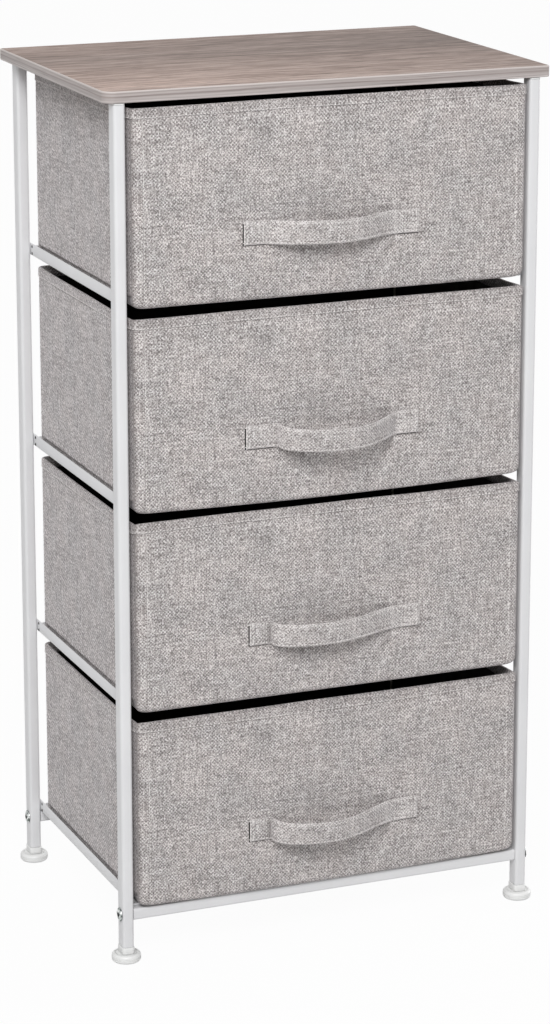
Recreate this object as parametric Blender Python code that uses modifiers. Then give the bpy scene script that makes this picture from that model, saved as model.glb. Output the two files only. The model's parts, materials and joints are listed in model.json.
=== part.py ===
# Four-drawer fabric storage tower: a white steel tube frame under a wood-grain top, with
# open fabric drawers that slide on angle rails. Metres, +Z up; the drawers open towards -Y.
import math

import bmesh
import bpy
from mathutils import Matrix, Vector

# Touching pieces stand this far apart
FIT_GAP = 0.0003

# Frame, over the outer faces of its posts
FRAME_WIDTH = 0.432
FRAME_DEPTH = 0.299
POST_WIDTH = 0.0115
POST_DEPTH = 0.016
POST_WALL = 0.001
POST_CORNER_RADIUS = 0.003

# Angle rails, welded to the inner faces of the posts
SHEET_THICKNESS = 0.0012
RAIL_HEIGHT = 0.0125
RAIL_LEDGE = 0.018
RAIL_BEND_RADIUS = 0.001
RAIL_FRONT_INSET = 0.012
RAIL_REAR_INSET = 0.0015
STOP_HEIGHT = 0.010
STOP_SETBACK = 0.006
RAIL_HOLE_DIAMETER = 0.0026
RAIL_HOLE_SPACING = 0.007
RAIL_HOLE_SETBACK = 0.003

# Bottom crossbars and the bolts that hold them
CROSSBAR_CLEARANCE = 0.0422
CROSSBAR_HEIGHT = 0.0115
CROSSBAR_DEPTH = 0.012
CROSSBAR_CORNER_RADIUS = 0.002
NUT_LENGTH = 0.012
BOLT_DIAMETER = 0.0056
BOLT_HOLE_CLEARANCE = 0.0004
BOLT_HEAD_DIAMETER = 0.0115
BOLT_HEAD_HEIGHT = 0.0018
BOLT_SOCKET_WIDTH = 0.004
BOLT_SOCKET_DEPTH = 0.0016

# Wood-grain top with its edge band
SIDE_OVERHANG = 0.009
FRONT_OVERHANG = 0.001
REAR_OVERHANG = 0.010
TOP_THICKNESS = 0.011
TOP_FRONT_LEFT_RADIUS = 0.012
TOP_CORNER_RADIUS = 0.003
EDGE_BAND_THICKNESS = 0.0012

# Plugs that hold the top to the posts
PLUG_SHOULDER = 0.0012
TOP_PEG_LENGTH = 0.015
SCREW_DIAMETER = 0.0032
SCREW_HEAD_DIAMETER = 0.006
SCREW_HEAD_HEIGHT = 0.0022
SCREW_BITE = 0.007
SCREW_CLEARANCE = 0.0004

# Levelling feet and the plugs that they screw into
FOOT_DIAMETER = 0.0285
FOOT_HEIGHT = 0.0085
FOOT_EDGE_RADIUS = 0.003
COLLAR_OVERHANG = 0.0007
COLLAR_HEIGHT = 0.0065
FOOT_PEG_LENGTH = 0.020
STUD_DIAMETER = 0.0045
STUD_LENGTH = 0.018
STUD_CLEARANCE = 0.0003

# Drawers
DRAWER_COUNT = 4
DRAWER_HEIGHT = 0.187
DRAWER_GAP = 0.0093
TOP_CLEARANCE = 0.0056
DRAWER_PROUD = 0.004
DRAWER_SIDE_CLEARANCE = 0.0006
DRAWER_WALL = 0.003
DRAWER_EDGE_RADIUS = 0.006
BOTTOM_BOARD_THICKNESS = 0.003
FRONT_BOARD_THICKNESS = 0.0025
HEM_HEIGHT = 0.011

# Strap handles, sewn to the drawers' fronts
HANDLE_LENGTH = 0.179
HANDLE_TAB = 0.0255
HANDLE_HEIGHT = 0.0655
STRAP_WIDTH = 0.023
STRAP_THICKNESS = 0.0024
HANDLE_BULGE = 0.024
HANDLE_DROOP = 0.002
HANDLE_PEAK_SHIFT = -0.008
HANDLE_LEFT_FULLNESS = 0.4
HANDLE_RIGHT_FULLNESS = 1.45

# Facets
CORNER_STEPS = 4
SMALL_ROUND_STEPS = 12
ROUND_STEPS = 24
SOCKET_SIDES = 6
DOME_STEPS = 4
FOOT_EDGE_STEPS = 4
DRAWER_EDGE_STEPS = 3
STRAP_STEPS = 18
SMOOTH_ANGLE = math.radians(35)
WELD_DISTANCE = 0.000002
CUT_OVERRUN = 0.001

# Depths, from the handles' fronts to the top's rear edge; the origin is midway
handle_reach = DRAWER_PROUD + FIT_GAP + HANDLE_BULGE + STRAP_THICKNESS
whole_depth = handle_reach + FRAME_DEPTH + REAR_OVERHANG
frame_front = handle_reach - whole_depth / 2
frame_rear = frame_front + FRAME_DEPTH
rear_post_front = frame_rear - POST_DEPTH
drawer_front = frame_front - DRAWER_PROUD
stop_front = rear_post_front - STOP_SETBACK
drawer_depth = stop_front - FIT_GAP - drawer_front

# Widths
post_x = (FRAME_WIDTH - POST_WIDTH) / 2
frame_inner_half = FRAME_WIDTH / 2 - POST_WIDTH
rail_outer_half = frame_inner_half - FIT_GAP
drawer_half_width = rail_outer_half - SHEET_THICKNESS - DRAWER_SIDE_CLEARANCE
drawer_width = 2 * drawer_half_width

# Heights, stacked up from the floor
collar_bottom = FOOT_HEIGHT + FIT_GAP
post_bottom = collar_bottom + COLLAR_HEIGHT + FIT_GAP
crossbar_middle = CROSSBAR_CLEARANCE + CROSSBAR_HEIGHT / 2
lowest_rail = CROSSBAR_CLEARANCE + CROSSBAR_HEIGHT + FIT_GAP
drawer_lift = SHEET_THICKNESS + FIT_GAP
drawer_pitch = DRAWER_HEIGHT + DRAWER_GAP
highest_drawer_top = lowest_rail + drawer_lift + (DRAWER_COUNT - 1) * drawer_pitch + DRAWER_HEIGHT
top_bottom = highest_drawer_top + TOP_CLEARANCE
shoulder_bottom = top_bottom - FIT_GAP - PLUG_SHOULDER
post_top = shoulder_bottom - FIT_GAP

# The four corners of the frame: name, side of X and Y of the post's middle
front_post_y = frame_front + POST_DEPTH / 2
rear_post_y = frame_rear - POST_DEPTH / 2
corners = [
    ("front_left", -1, front_post_y),
    ("front_right", 1, front_post_y),
    ("rear_left", -1, rear_post_y),
    ("rear_right", 1, rear_post_y),
]

for old in list(bpy.data.objects):
    bpy.data.objects.remove(old)

parts = bpy.data.collections.new("fabric_drawer_tower")
bpy.context.scene.collection.children.link(parts)
workshop = bpy.data.collections.new("cutters")
bpy.context.scene.collection.children.link(workshop)


def make_material(name, color, roughness, metallic=0.0):
    """A Principled finish."""
    material = bpy.data.materials.new(name)
    material.use_nodes = True
    shader = material.node_tree.nodes["Principled BSDF"]
    shader.inputs["Base Color"].default_value = (*color, 1.0)
    shader.inputs["Roughness"].default_value = roughness
    shader.inputs["Metallic"].default_value = metallic
    return material


laminate = make_material("wood_grain_laminate", (0.29, 0.235, 0.20), 0.5)
band_finish = make_material("wood_grain_edge_band", (0.42, 0.37, 0.35), 0.45)
powder_coat = make_material("white_powder_coat", (0.80, 0.80, 0.81), 0.4)
zinc = make_material("zinc_plated_steel", (0.62, 0.63, 0.63), 0.3, 1.0)
white_plastic = make_material("white_plastic", (0.78, 0.78, 0.77), 0.45)
linen = make_material("grey_linen_cloth", (0.40, 0.375, 0.36), 0.9)
strap_cloth = make_material("grey_strap_cloth", (0.41, 0.385, 0.37), 0.9)
board = make_material("lining_board", (0.03, 0.028, 0.026), 0.85)


def add_empty(name, location):
    """A parent for the pieces of one body."""
    empty = bpy.data.objects.new(name, None)
    empty.location = location
    parts.objects.link(empty)
    return empty


def add_part(name, mesh, material, location, parent):
    """Put a finished mesh in the assembly under its own name."""
    if not mesh.materials:
        mesh.materials.append(material)
    part = bpy.data.objects.new(name, mesh)
    part.location = Vector(location) - parent.location
    part.parent = parent
    parts.objects.link(part)
    return part


def add_tool(name, data):
    """A passing object that is baked, or used as a cutter, and then removed."""
    tool = bpy.data.objects.new(name, data)
    tool.hide_render = True
    tool.display_type = "WIRE"
    workshop.objects.link(tool)
    return tool


def bake(tool):
    """Replace a passing object by the welded mesh that its modifiers or curve give."""
    evaluated = tool.evaluated_get(bpy.context.evaluated_depsgraph_get())
    mesh = bpy.data.meshes.new_from_object(evaluated)
    bpy.data.objects.remove(tool)
    welded = bmesh.new()
    welded.from_mesh(mesh)
    bmesh.ops.remove_doubles(welded, verts=welded.verts, dist=WELD_DISTANCE)
    bmesh.ops.recalc_face_normals(welded, faces=welded.faces)
    welded.to_mesh(mesh)
    welded.free()
    return mesh


def combine(mesh, other, operation):
    """Cut another mesh from this one, or join it on, and return the result."""
    body = add_tool("body", mesh)
    tool = add_tool("tool", other)
    modifier = body.modifiers.new("combine", "BOOLEAN")
    modifier.operation = operation
    modifier.solver = "EXACT"
    modifier.object = tool
    result = bake(body)
    bpy.data.objects.remove(tool)
    return result


def arc(center, radius, start, end, steps):
    """Points on an arc, from one angle to another."""
    points = []
    for step in range(steps + 1):
        angle = start + (end - start) * step / steps
        points.append((center[0] + radius * math.cos(angle), center[1] + radius * math.sin(angle)))
    return points


def rounded_rectangle(width, depth, radius, front_left_radius=None):
    """The outline of a rectangle about the origin, with round corners; the front left may differ."""
    outline = []
    for quarter, (side_x, side_y) in enumerate([(1, 1), (-1, 1), (-1, -1), (1, -1)]):
        reach = front_left_radius if front_left_radius and side_x + side_y < 0 else radius
        center = (side_x * (width / 2 - reach), side_y * (depth / 2 - reach))
        start = quarter * math.pi / 2
        outline += arc(center, reach, start, start + math.pi / 2, CORNER_STEPS)
    return outline


def extrude(outlines, length):
    """A prism from flat outlines, the inner ones being holes. It stands on z = 0."""
    curve = bpy.data.curves.new("outline", "CURVE")
    curve.dimensions = "2D"
    curve.fill_mode = "BOTH"
    curve.extrude = length / 2
    for outline in outlines:
        spline = curve.splines.new("POLY")
        spline.points.add(len(outline) - 1)
        spline.use_cyclic_u = True
        for point, (x, y) in zip(spline.points, outline):
            point.co = (x, y, 0, 1)
    mesh = bake(add_tool("prism", curve))
    mesh.transform(Matrix.Translation((0, 0, length / 2)))
    return mesh


def cylinder(radius, length, steps):
    """A cylinder that stands on z = 0."""
    mesh = bpy.data.meshes.new("cylinder")
    solid = bmesh.new()
    bmesh.ops.create_cone(
        solid, cap_ends=True, segments=steps, radius1=radius, radius2=radius, depth=length
    )
    bmesh.ops.translate(solid, verts=solid.verts, vec=(0, 0, length / 2))
    solid.to_mesh(mesh)
    solid.free()
    return mesh


def box(low, high):
    """A box between two corners."""
    mesh = bpy.data.meshes.new("box")
    solid = bmesh.new()
    bmesh.ops.create_cube(solid, size=1)
    size = Vector(high) - Vector(low)
    bmesh.ops.scale(solid, verts=solid.verts, vec=size)
    bmesh.ops.translate(solid, verts=solid.verts, vec=Vector(low) + size / 2)
    solid.to_mesh(mesh)
    solid.free()
    return mesh


def smooth(mesh):
    """Shade a mesh smooth, with its corners kept crisp."""
    mesh.shade_smooth()
    mesh.set_sharp_from_angle(angle=SMOOTH_ANGLE)
    return mesh


def turn(profile, steps):
    """A turned solid from a profile of (radius, height) that runs down its outer side."""
    mesh = bpy.data.meshes.new("turned")
    line = bmesh.new()
    points = [line.verts.new((radius, 0, height)) for radius, height in profile]
    for first, second in zip(points, points[1:]):
        line.edges.new((first, second))
    line.to_mesh(mesh)
    line.free()
    tool = add_tool("profile", mesh)
    screw = tool.modifiers.new("turn", "SCREW")
    screw.steps = steps
    screw.render_steps = steps
    screw.use_merge_vertices = True
    screw.merge_threshold = WELD_DISTANCE
    return smooth(bake(tool))


def lay_along_x(mesh):
    """Turn a mesh that stands along Z to lie along X."""
    mesh.transform(Matrix.Rotation(math.pi / 2, 4, "Y"))
    return mesh


def shift(mesh, x=0.0, y=0.0, z=0.0):
    """Move a mesh in its own frame."""
    mesh.transform(Matrix.Translation((x, y, z)))
    return mesh


def inner_radius(outer_radius, wall):
    """The radius left inside a wall that follows a round corner."""
    return max(outer_radius - wall, FIT_GAP)


def post_bore_outline(gap):
    """The outline inside a post, drawn in by a gap."""
    wall = POST_WALL + gap
    radius = inner_radius(POST_CORNER_RADIUS, wall)
    return rounded_rectangle(POST_WIDTH - 2 * wall, POST_DEPTH - 2 * wall, radius)


def build_posts(frame):
    """Four upright tubes with a bolt hole through the foot of each."""
    outer = rounded_rectangle(POST_WIDTH, POST_DEPTH, POST_CORNER_RADIUS)
    tube = extrude([outer, post_bore_outline(0)], post_top - post_bottom)
    drill_length = POST_WIDTH + 2 * CUT_OVERRUN
    drill = cylinder(BOLT_DIAMETER / 2 + BOLT_HOLE_CLEARANCE, drill_length, SMALL_ROUND_STEPS)
    shift(lay_along_x(drill), x=-drill_length / 2, z=crossbar_middle - post_bottom)
    tube = smooth(combine(tube, drill, "DIFFERENCE"))
    for corner, side, y in corners:
        add_part("post_" + corner, tube, powder_coat, (side * post_x, y, post_bottom), frame)


def rail_outline():
    """The angle of a left rail, seen from the front: a flange with a ledge at its foot."""
    bend = min(RAIL_BEND_RADIUS, RAIL_HEIGHT - SHEET_THICKNESS)
    corner = SHEET_THICKNESS + bend
    outline = [(0, RAIL_HEIGHT)]
    outline += arc((corner, corner), corner, math.pi, 1.5 * math.pi, CORNER_STEPS)
    outline += [(RAIL_LEDGE, 0), (RAIL_LEDGE, SHEET_THICKNESS)]
    outline += arc((corner, corner), bend, 1.5 * math.pi, math.pi, CORNER_STEPS)
    outline += [(SHEET_THICKNESS, RAIL_HEIGHT)]
    return outline


def build_rails(frame):
    """Angle rails, one a side under each drawer, with a stop tab turned up at the rear."""
    rail_front = frame_front + RAIL_FRONT_INSET
    length = frame_rear - RAIL_REAR_INSET - rail_front
    angle = extrude([rail_outline()], length)
    angle.transform(Matrix.Rotation(math.pi / 2, 4, "X"))
    shift(angle, y=length)
    tab_front = stop_front - rail_front
    tab_low = (SHEET_THICKNESS + 2 * RAIL_BEND_RADIUS, tab_front, SHEET_THICKNESS / 2)
    tab_high = (RAIL_LEDGE, tab_front + SHEET_THICKNESS, SHEET_THICKNESS + STOP_HEIGHT)
    angle = combine(angle, box(tab_low, tab_high), "UNION")
    for direction in (-1, 1):
        hole = cylinder(RAIL_HOLE_DIAMETER / 2, SHEET_THICKNESS + 2 * CUT_OVERRUN, SMALL_ROUND_STEPS)
        hole_y = rear_post_front - RAIL_HOLE_SETBACK - rail_front
        hole_z = RAIL_HEIGHT / 2 + direction * RAIL_HOLE_SPACING / 2
        shift(lay_along_x(hole), x=-CUT_OVERRUN, y=hole_y, z=hole_z)
        angle = combine(angle, hole, "DIFFERENCE")
    mirrored = angle.copy()
    mirrored.transform(Matrix.Scale(-1, 4, (1, 0, 0)))
    mirrored.flip_normals()
    for number in range(1, DRAWER_COUNT + 1):
        height = lowest_rail + (DRAWER_COUNT - number) * drawer_pitch
        left = (-rail_outer_half, rail_front, height)
        right = (rail_outer_half, rail_front, height)
        add_part(f"rail_left_{number}", angle, powder_coat, left, frame)
        add_part(f"rail_right_{number}", mirrored, powder_coat, right, frame)


def bolt_profile(length):
    """A button-head bolt: the head's dome, its rim, then the shank below z = 0."""
    radius = BOLT_HEAD_DIAMETER / 2
    profile = []
    for step in range(DOME_STEPS + 1):
        angle = math.pi / 2 * (1 - step / DOME_STEPS)
        profile.append((radius * math.cos(angle), BOLT_HEAD_HEIGHT * math.sin(angle)))
    profile += [(BOLT_DIAMETER / 2, 0), (BOLT_DIAMETER / 2, -length), (0, -length)]
    return profile


def build_crossbars(frame):
    """Front and rear bottom bars, each held by a bolt through the post at either end."""
    bar_half = frame_inner_half - FIT_GAP
    outer = rounded_rectangle(CROSSBAR_HEIGHT, CROSSBAR_DEPTH, CROSSBAR_CORNER_RADIUS)
    bore = rounded_rectangle(
        CROSSBAR_HEIGHT - 2 * POST_WALL,
        CROSSBAR_DEPTH - 2 * POST_WALL,
        inner_radius(CROSSBAR_CORNER_RADIUS, POST_WALL),
    )
    bar = shift(smooth(lay_along_x(extrude([outer, bore], 2 * bar_half))), x=-bar_half)
    add_part("crossbar_front", bar, powder_coat, (0, front_post_y, crossbar_middle), frame)
    add_part("crossbar_rear", bar, powder_coat, (0, rear_post_y, crossbar_middle), frame)

    wall = POST_WALL + FIT_GAP
    nut_outline = rounded_rectangle(
        CROSSBAR_HEIGHT - 2 * wall,
        CROSSBAR_DEPTH - 2 * wall,
        inner_radius(CROSSBAR_CORNER_RADIUS, wall),
    )
    nut = extrude([nut_outline], NUT_LENGTH)
    tap = cylinder(
        BOLT_DIAMETER / 2 + BOLT_HOLE_CLEARANCE, NUT_LENGTH + 2 * CUT_OVERRUN, SMALL_ROUND_STEPS
    )
    nut = lay_along_x(combine(nut, shift(tap, z=-CUT_OVERRUN), "DIFFERENCE"))
    shift(nut, x=-NUT_LENGTH / 2)

    bolt_length = POST_WIDTH + FIT_GAP + NUT_LENGTH
    bolt = turn(bolt_profile(bolt_length), SMALL_ROUND_STEPS)
    socket = cylinder(
        BOLT_SOCKET_WIDTH / 2 / math.cos(math.pi / SOCKET_SIDES),
        BOLT_SOCKET_DEPTH + CUT_OVERRUN,
        SOCKET_SIDES,
    )
    shift(socket, z=BOLT_HEAD_HEIGHT - BOLT_SOCKET_DEPTH)
    bolt = smooth(lay_along_x(combine(bolt, socket, "DIFFERENCE")))
    left_bolt = bolt.copy()
    left_bolt.transform(Matrix.Rotation(math.pi, 4, "Z"))
    for corner, side, y in corners:
        nut_x = side * (bar_half - NUT_LENGTH / 2)
        head_x = side * (FRAME_WIDTH / 2 + FIT_GAP)
        turned = bolt if side > 0 else left_bolt
        add_part("crossbar_nut_" + corner, nut, zinc, (nut_x, y, crossbar_middle), frame)
        add_part("crossbar_bolt_" + corner, turned, zinc, (head_x, y, crossbar_middle), frame)


def build_top(frame):
    """The board, its edge band, and the plugs and screws that hold it on the posts."""
    width = FRAME_WIDTH + 2 * SIDE_OVERHANG
    depth = FRONT_OVERHANG + FRAME_DEPTH + REAR_OVERHANG
    middle_y = frame_front - FRONT_OVERHANG + depth / 2
    screw_radius = SCREW_DIAMETER / 2
    hole_radius = screw_radius + SCREW_CLEARANCE

    def outline(inset):
        front_left = inner_radius(TOP_FRONT_LEFT_RADIUS, inset)
        radius = inner_radius(TOP_CORNER_RADIUS, inset)
        return rounded_rectangle(width - 2 * inset, depth - 2 * inset, radius, front_left)

    panel = extrude([outline(EDGE_BAND_THICKNESS + FIT_GAP)], TOP_THICKNESS)
    for corner, side, y in corners:
        pilot = cylinder(hole_radius, SCREW_BITE + FIT_GAP + CUT_OVERRUN, SMALL_ROUND_STEPS)
        shift(pilot, x=side * post_x, y=y - middle_y, z=-CUT_OVERRUN)
        panel = combine(panel, pilot, "DIFFERENCE")
    add_part("top_panel", panel, laminate, (0, middle_y, top_bottom), frame)
    band = smooth(extrude([outline(0), outline(EDGE_BAND_THICKNESS)], TOP_THICKNESS))
    add_part("edge_band", band, band_finish, (0, middle_y, top_bottom), frame)

    shoulder = extrude([rounded_rectangle(POST_WIDTH, POST_DEPTH, POST_CORNER_RADIUS)], PLUG_SHOULDER)
    peg = extrude([post_bore_outline(FIT_GAP)], TOP_PEG_LENGTH + PLUG_SHOULDER / 2)
    plug = combine(shoulder, shift(peg, z=-TOP_PEG_LENGTH), "UNION")
    drill_length = TOP_PEG_LENGTH + PLUG_SHOULDER + 2 * CUT_OVERRUN
    drill = cylinder(hole_radius, drill_length, SMALL_ROUND_STEPS)
    plug = combine(plug, shift(drill, z=-TOP_PEG_LENGTH - CUT_OVERRUN), "DIFFERENCE")

    head_top = -TOP_PEG_LENGTH - FIT_GAP
    tip = PLUG_SHOULDER + FIT_GAP + SCREW_BITE
    head_radius = SCREW_HEAD_DIAMETER / 2
    screw = turn(
        [
            (0, tip),
            (screw_radius, tip - SCREW_DIAMETER),
            (screw_radius, head_top),
            (head_radius, head_top),
            (head_radius, head_top - SCREW_HEAD_HEIGHT / 2),
            (head_radius / 2, head_top - SCREW_HEAD_HEIGHT),
            (0, head_top - SCREW_HEAD_HEIGHT),
        ],
        SMALL_ROUND_STEPS,
    )
    for corner, side, y in corners:
        place = (side * post_x, y, shoulder_bottom)
        add_part("top_plug_" + corner, plug, white_plastic, place, frame)
        add_part("top_screw_" + corner, screw, zinc, place, frame)


def build_feet(frame):
    """Round feet on studs, and the collared plugs in the posts that take them."""
    stud_radius = STUD_DIAMETER / 2
    edge = min(FOOT_EDGE_RADIUS, FOOT_HEIGHT / 2)
    edge_center = FOOT_DIAMETER / 2 - edge
    profile = [
        (0, FOOT_HEIGHT + STUD_LENGTH),
        (stud_radius, FOOT_HEIGHT + STUD_LENGTH),
        (stud_radius, FOOT_HEIGHT),
    ]
    profile += arc((edge_center, FOOT_HEIGHT - edge), edge, math.pi / 2, 0, FOOT_EDGE_STEPS)
    profile += arc((edge_center, edge), edge, 0, -math.pi / 2, FOOT_EDGE_STEPS)
    profile += [(0, 0)]
    foot = turn(profile, ROUND_STEPS)

    collar_outline = rounded_rectangle(
        POST_WIDTH + 2 * COLLAR_OVERHANG,
        POST_DEPTH + 2 * COLLAR_OVERHANG,
        POST_CORNER_RADIUS + COLLAR_OVERHANG,
    )
    collar = extrude([collar_outline], COLLAR_HEIGHT)
    peg = extrude([post_bore_outline(FIT_GAP)], FOOT_PEG_LENGTH + COLLAR_HEIGHT / 2 + FIT_GAP)
    plug = combine(collar, shift(peg, z=COLLAR_HEIGHT / 2), "UNION")
    tap_length = COLLAR_HEIGHT + FIT_GAP + FOOT_PEG_LENGTH + 2 * CUT_OVERRUN
    tap = cylinder(stud_radius + STUD_CLEARANCE, tap_length, ROUND_STEPS)
    plug = smooth(combine(plug, shift(tap, z=-CUT_OVERRUN), "DIFFERENCE"))
    for corner, side, y in corners:
        axis = add_empty(f"foot_{corner}_axis", (side * post_x, y, 0))
        add_part("foot_" + corner, foot, white_plastic, (side * post_x, y, 0), axis)
        place = (side * post_x, y, collar_bottom)
        add_part("foot_plug_" + corner, plug, white_plastic, place, frame)


def drawer_shell():
    """An open box of cloth over card, with soft folds along its bottom and upright edges."""
    mesh = bpy.data.meshes.new("drawer_shell")
    shell = bmesh.new()
    bmesh.ops.create_cube(shell, size=1)
    bmesh.ops.scale(shell, verts=shell.verts, vec=(drawer_width, drawer_depth, DRAWER_HEIGHT))
    bmesh.ops.translate(shell, verts=shell.verts, vec=(0, drawer_depth / 2, DRAWER_HEIGHT / 2))
    mouth = [face for face in shell.faces if face.normal.z > 0.5]
    bmesh.ops.delete(shell, geom=mouth, context="FACES_ONLY")
    folds = [edge for edge in shell.edges if len(edge.link_faces) == 2]
    bmesh.ops.bevel(
        shell,
        geom=folds,
        offset=DRAWER_EDGE_RADIUS,
        segments=DRAWER_EDGE_STEPS,
        profile=0.5,
        affect="EDGES",
    )
    shell.to_mesh(mesh)
    shell.free()
    tool = add_tool("shell", mesh)
    wall = tool.modifiers.new("wall", "SOLIDIFY")
    wall.thickness = DRAWER_WALL
    wall.offset = -1
    wall.use_even_offset = True
    return smooth(bake(tool))


def strap():
    """A cloth strap, flat at its sewn ends, that bulges out and droops between them."""
    loop_left = HANDLE_TAB - HANDLE_LENGTH / 2
    loop_right = HANDLE_LENGTH / 2 - HANDLE_TAB
    path = [(-HANDLE_LENGTH / 2, 0)]
    for step in range(STRAP_STEPS + 1):
        along = -math.cos(math.pi * step / STRAP_STEPS)
        fullness = HANDLE_LEFT_FULLNESS if along < 0 else HANDLE_RIGHT_FULLNESS
        span = HANDLE_PEAK_SHIFT - loop_left if along < 0 else loop_right - HANDLE_PEAK_SHIFT
        swell = max(0.0, 1 - along * along) ** fullness
        path.append((HANDLE_PEAK_SHIFT + along * span, swell))
    path.append((HANDLE_LENGTH / 2, 0))
    mesh = bpy.data.meshes.new("strap")
    ribbon = bmesh.new()
    points = []
    for x, swell in path:
        low_edge = -STRAP_WIDTH / 2 - HANDLE_DROOP * swell
        points.append(ribbon.verts.new((x, -HANDLE_BULGE * swell, low_edge)))
    edges = [ribbon.edges.new(pair) for pair in zip(points, points[1:])]
    raised = bmesh.ops.extrude_edge_only(ribbon, edges=edges)["geom"]
    raised_points = [item for item in raised if isinstance(item, bmesh.types.BMVert)]
    bmesh.ops.translate(ribbon, verts=raised_points, vec=(0, 0, STRAP_WIDTH))
    ribbon.to_mesh(mesh)
    ribbon.free()
    tool = add_tool("strap", mesh)
    cloth = tool.modifiers.new("cloth", "SOLIDIFY")
    cloth.thickness = STRAP_THICKNESS
    cloth.offset = -1
    cloth.use_even_offset = True
    return smooth(bake(tool))


def build_drawers():
    """The drawers: a shell, a loose bottom board, a stiff front board and a strap each."""
    shell = drawer_shell()
    handle = strap()
    board_inset = DRAWER_WALL + inner_radius(DRAWER_EDGE_RADIUS, DRAWER_WALL) + FIT_GAP
    bottom_lift = DRAWER_WALL + FIT_GAP
    bottom_outline = rounded_rectangle(
        drawer_width - 2 * board_inset, drawer_depth - 2 * board_inset, DRAWER_EDGE_RADIUS
    )
    bottom = extrude([bottom_outline], BOTTOM_BOARD_THICKNESS)
    front_low = max(bottom_lift + BOTTOM_BOARD_THICKNESS + FIT_GAP, board_inset)
    front_near = DRAWER_WALL + FIT_GAP
    front = box(
        (board_inset - drawer_half_width, front_near, front_low),
        (drawer_half_width - board_inset, front_near + FRONT_BOARD_THICKNESS, DRAWER_HEIGHT - HEM_HEIGHT),
    )
    for number in range(1, DRAWER_COUNT + 1):
        name = f"drawer_{number}"
        height = lowest_rail + drawer_lift + (DRAWER_COUNT - number) * drawer_pitch
        slide = add_empty(name + "_slide", (0, drawer_front, height))
        add_part(name + "_shell", shell, linen, (0, drawer_front, height), slide)
        add_part(name + "_front_board", front, board, (0, drawer_front, height), slide)
        bottom_place = (0, drawer_front + drawer_depth / 2, height + bottom_lift)
        add_part(name + "_bottom_board", bottom, board, bottom_place, slide)
        handle_place = (0, drawer_front - FIT_GAP, height + HANDLE_HEIGHT)
        add_part(name + "_handle", handle, strap_cloth, handle_place, slide)


tower = add_empty("tower_frame", (0, 0, 0))
build_posts(tower)
build_rails(tower)
build_crossbars(tower)
build_top(tower)
build_feet(tower)
build_drawers()
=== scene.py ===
# %% [markdown]
# A four-drawer fabric tower, dressed step by step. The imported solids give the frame: every size
# below is read from them or is a small finish on top of them, in metres, with +Z up. The drawers
# open towards -Y.

# %% Load the solids
import json
import math

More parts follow.
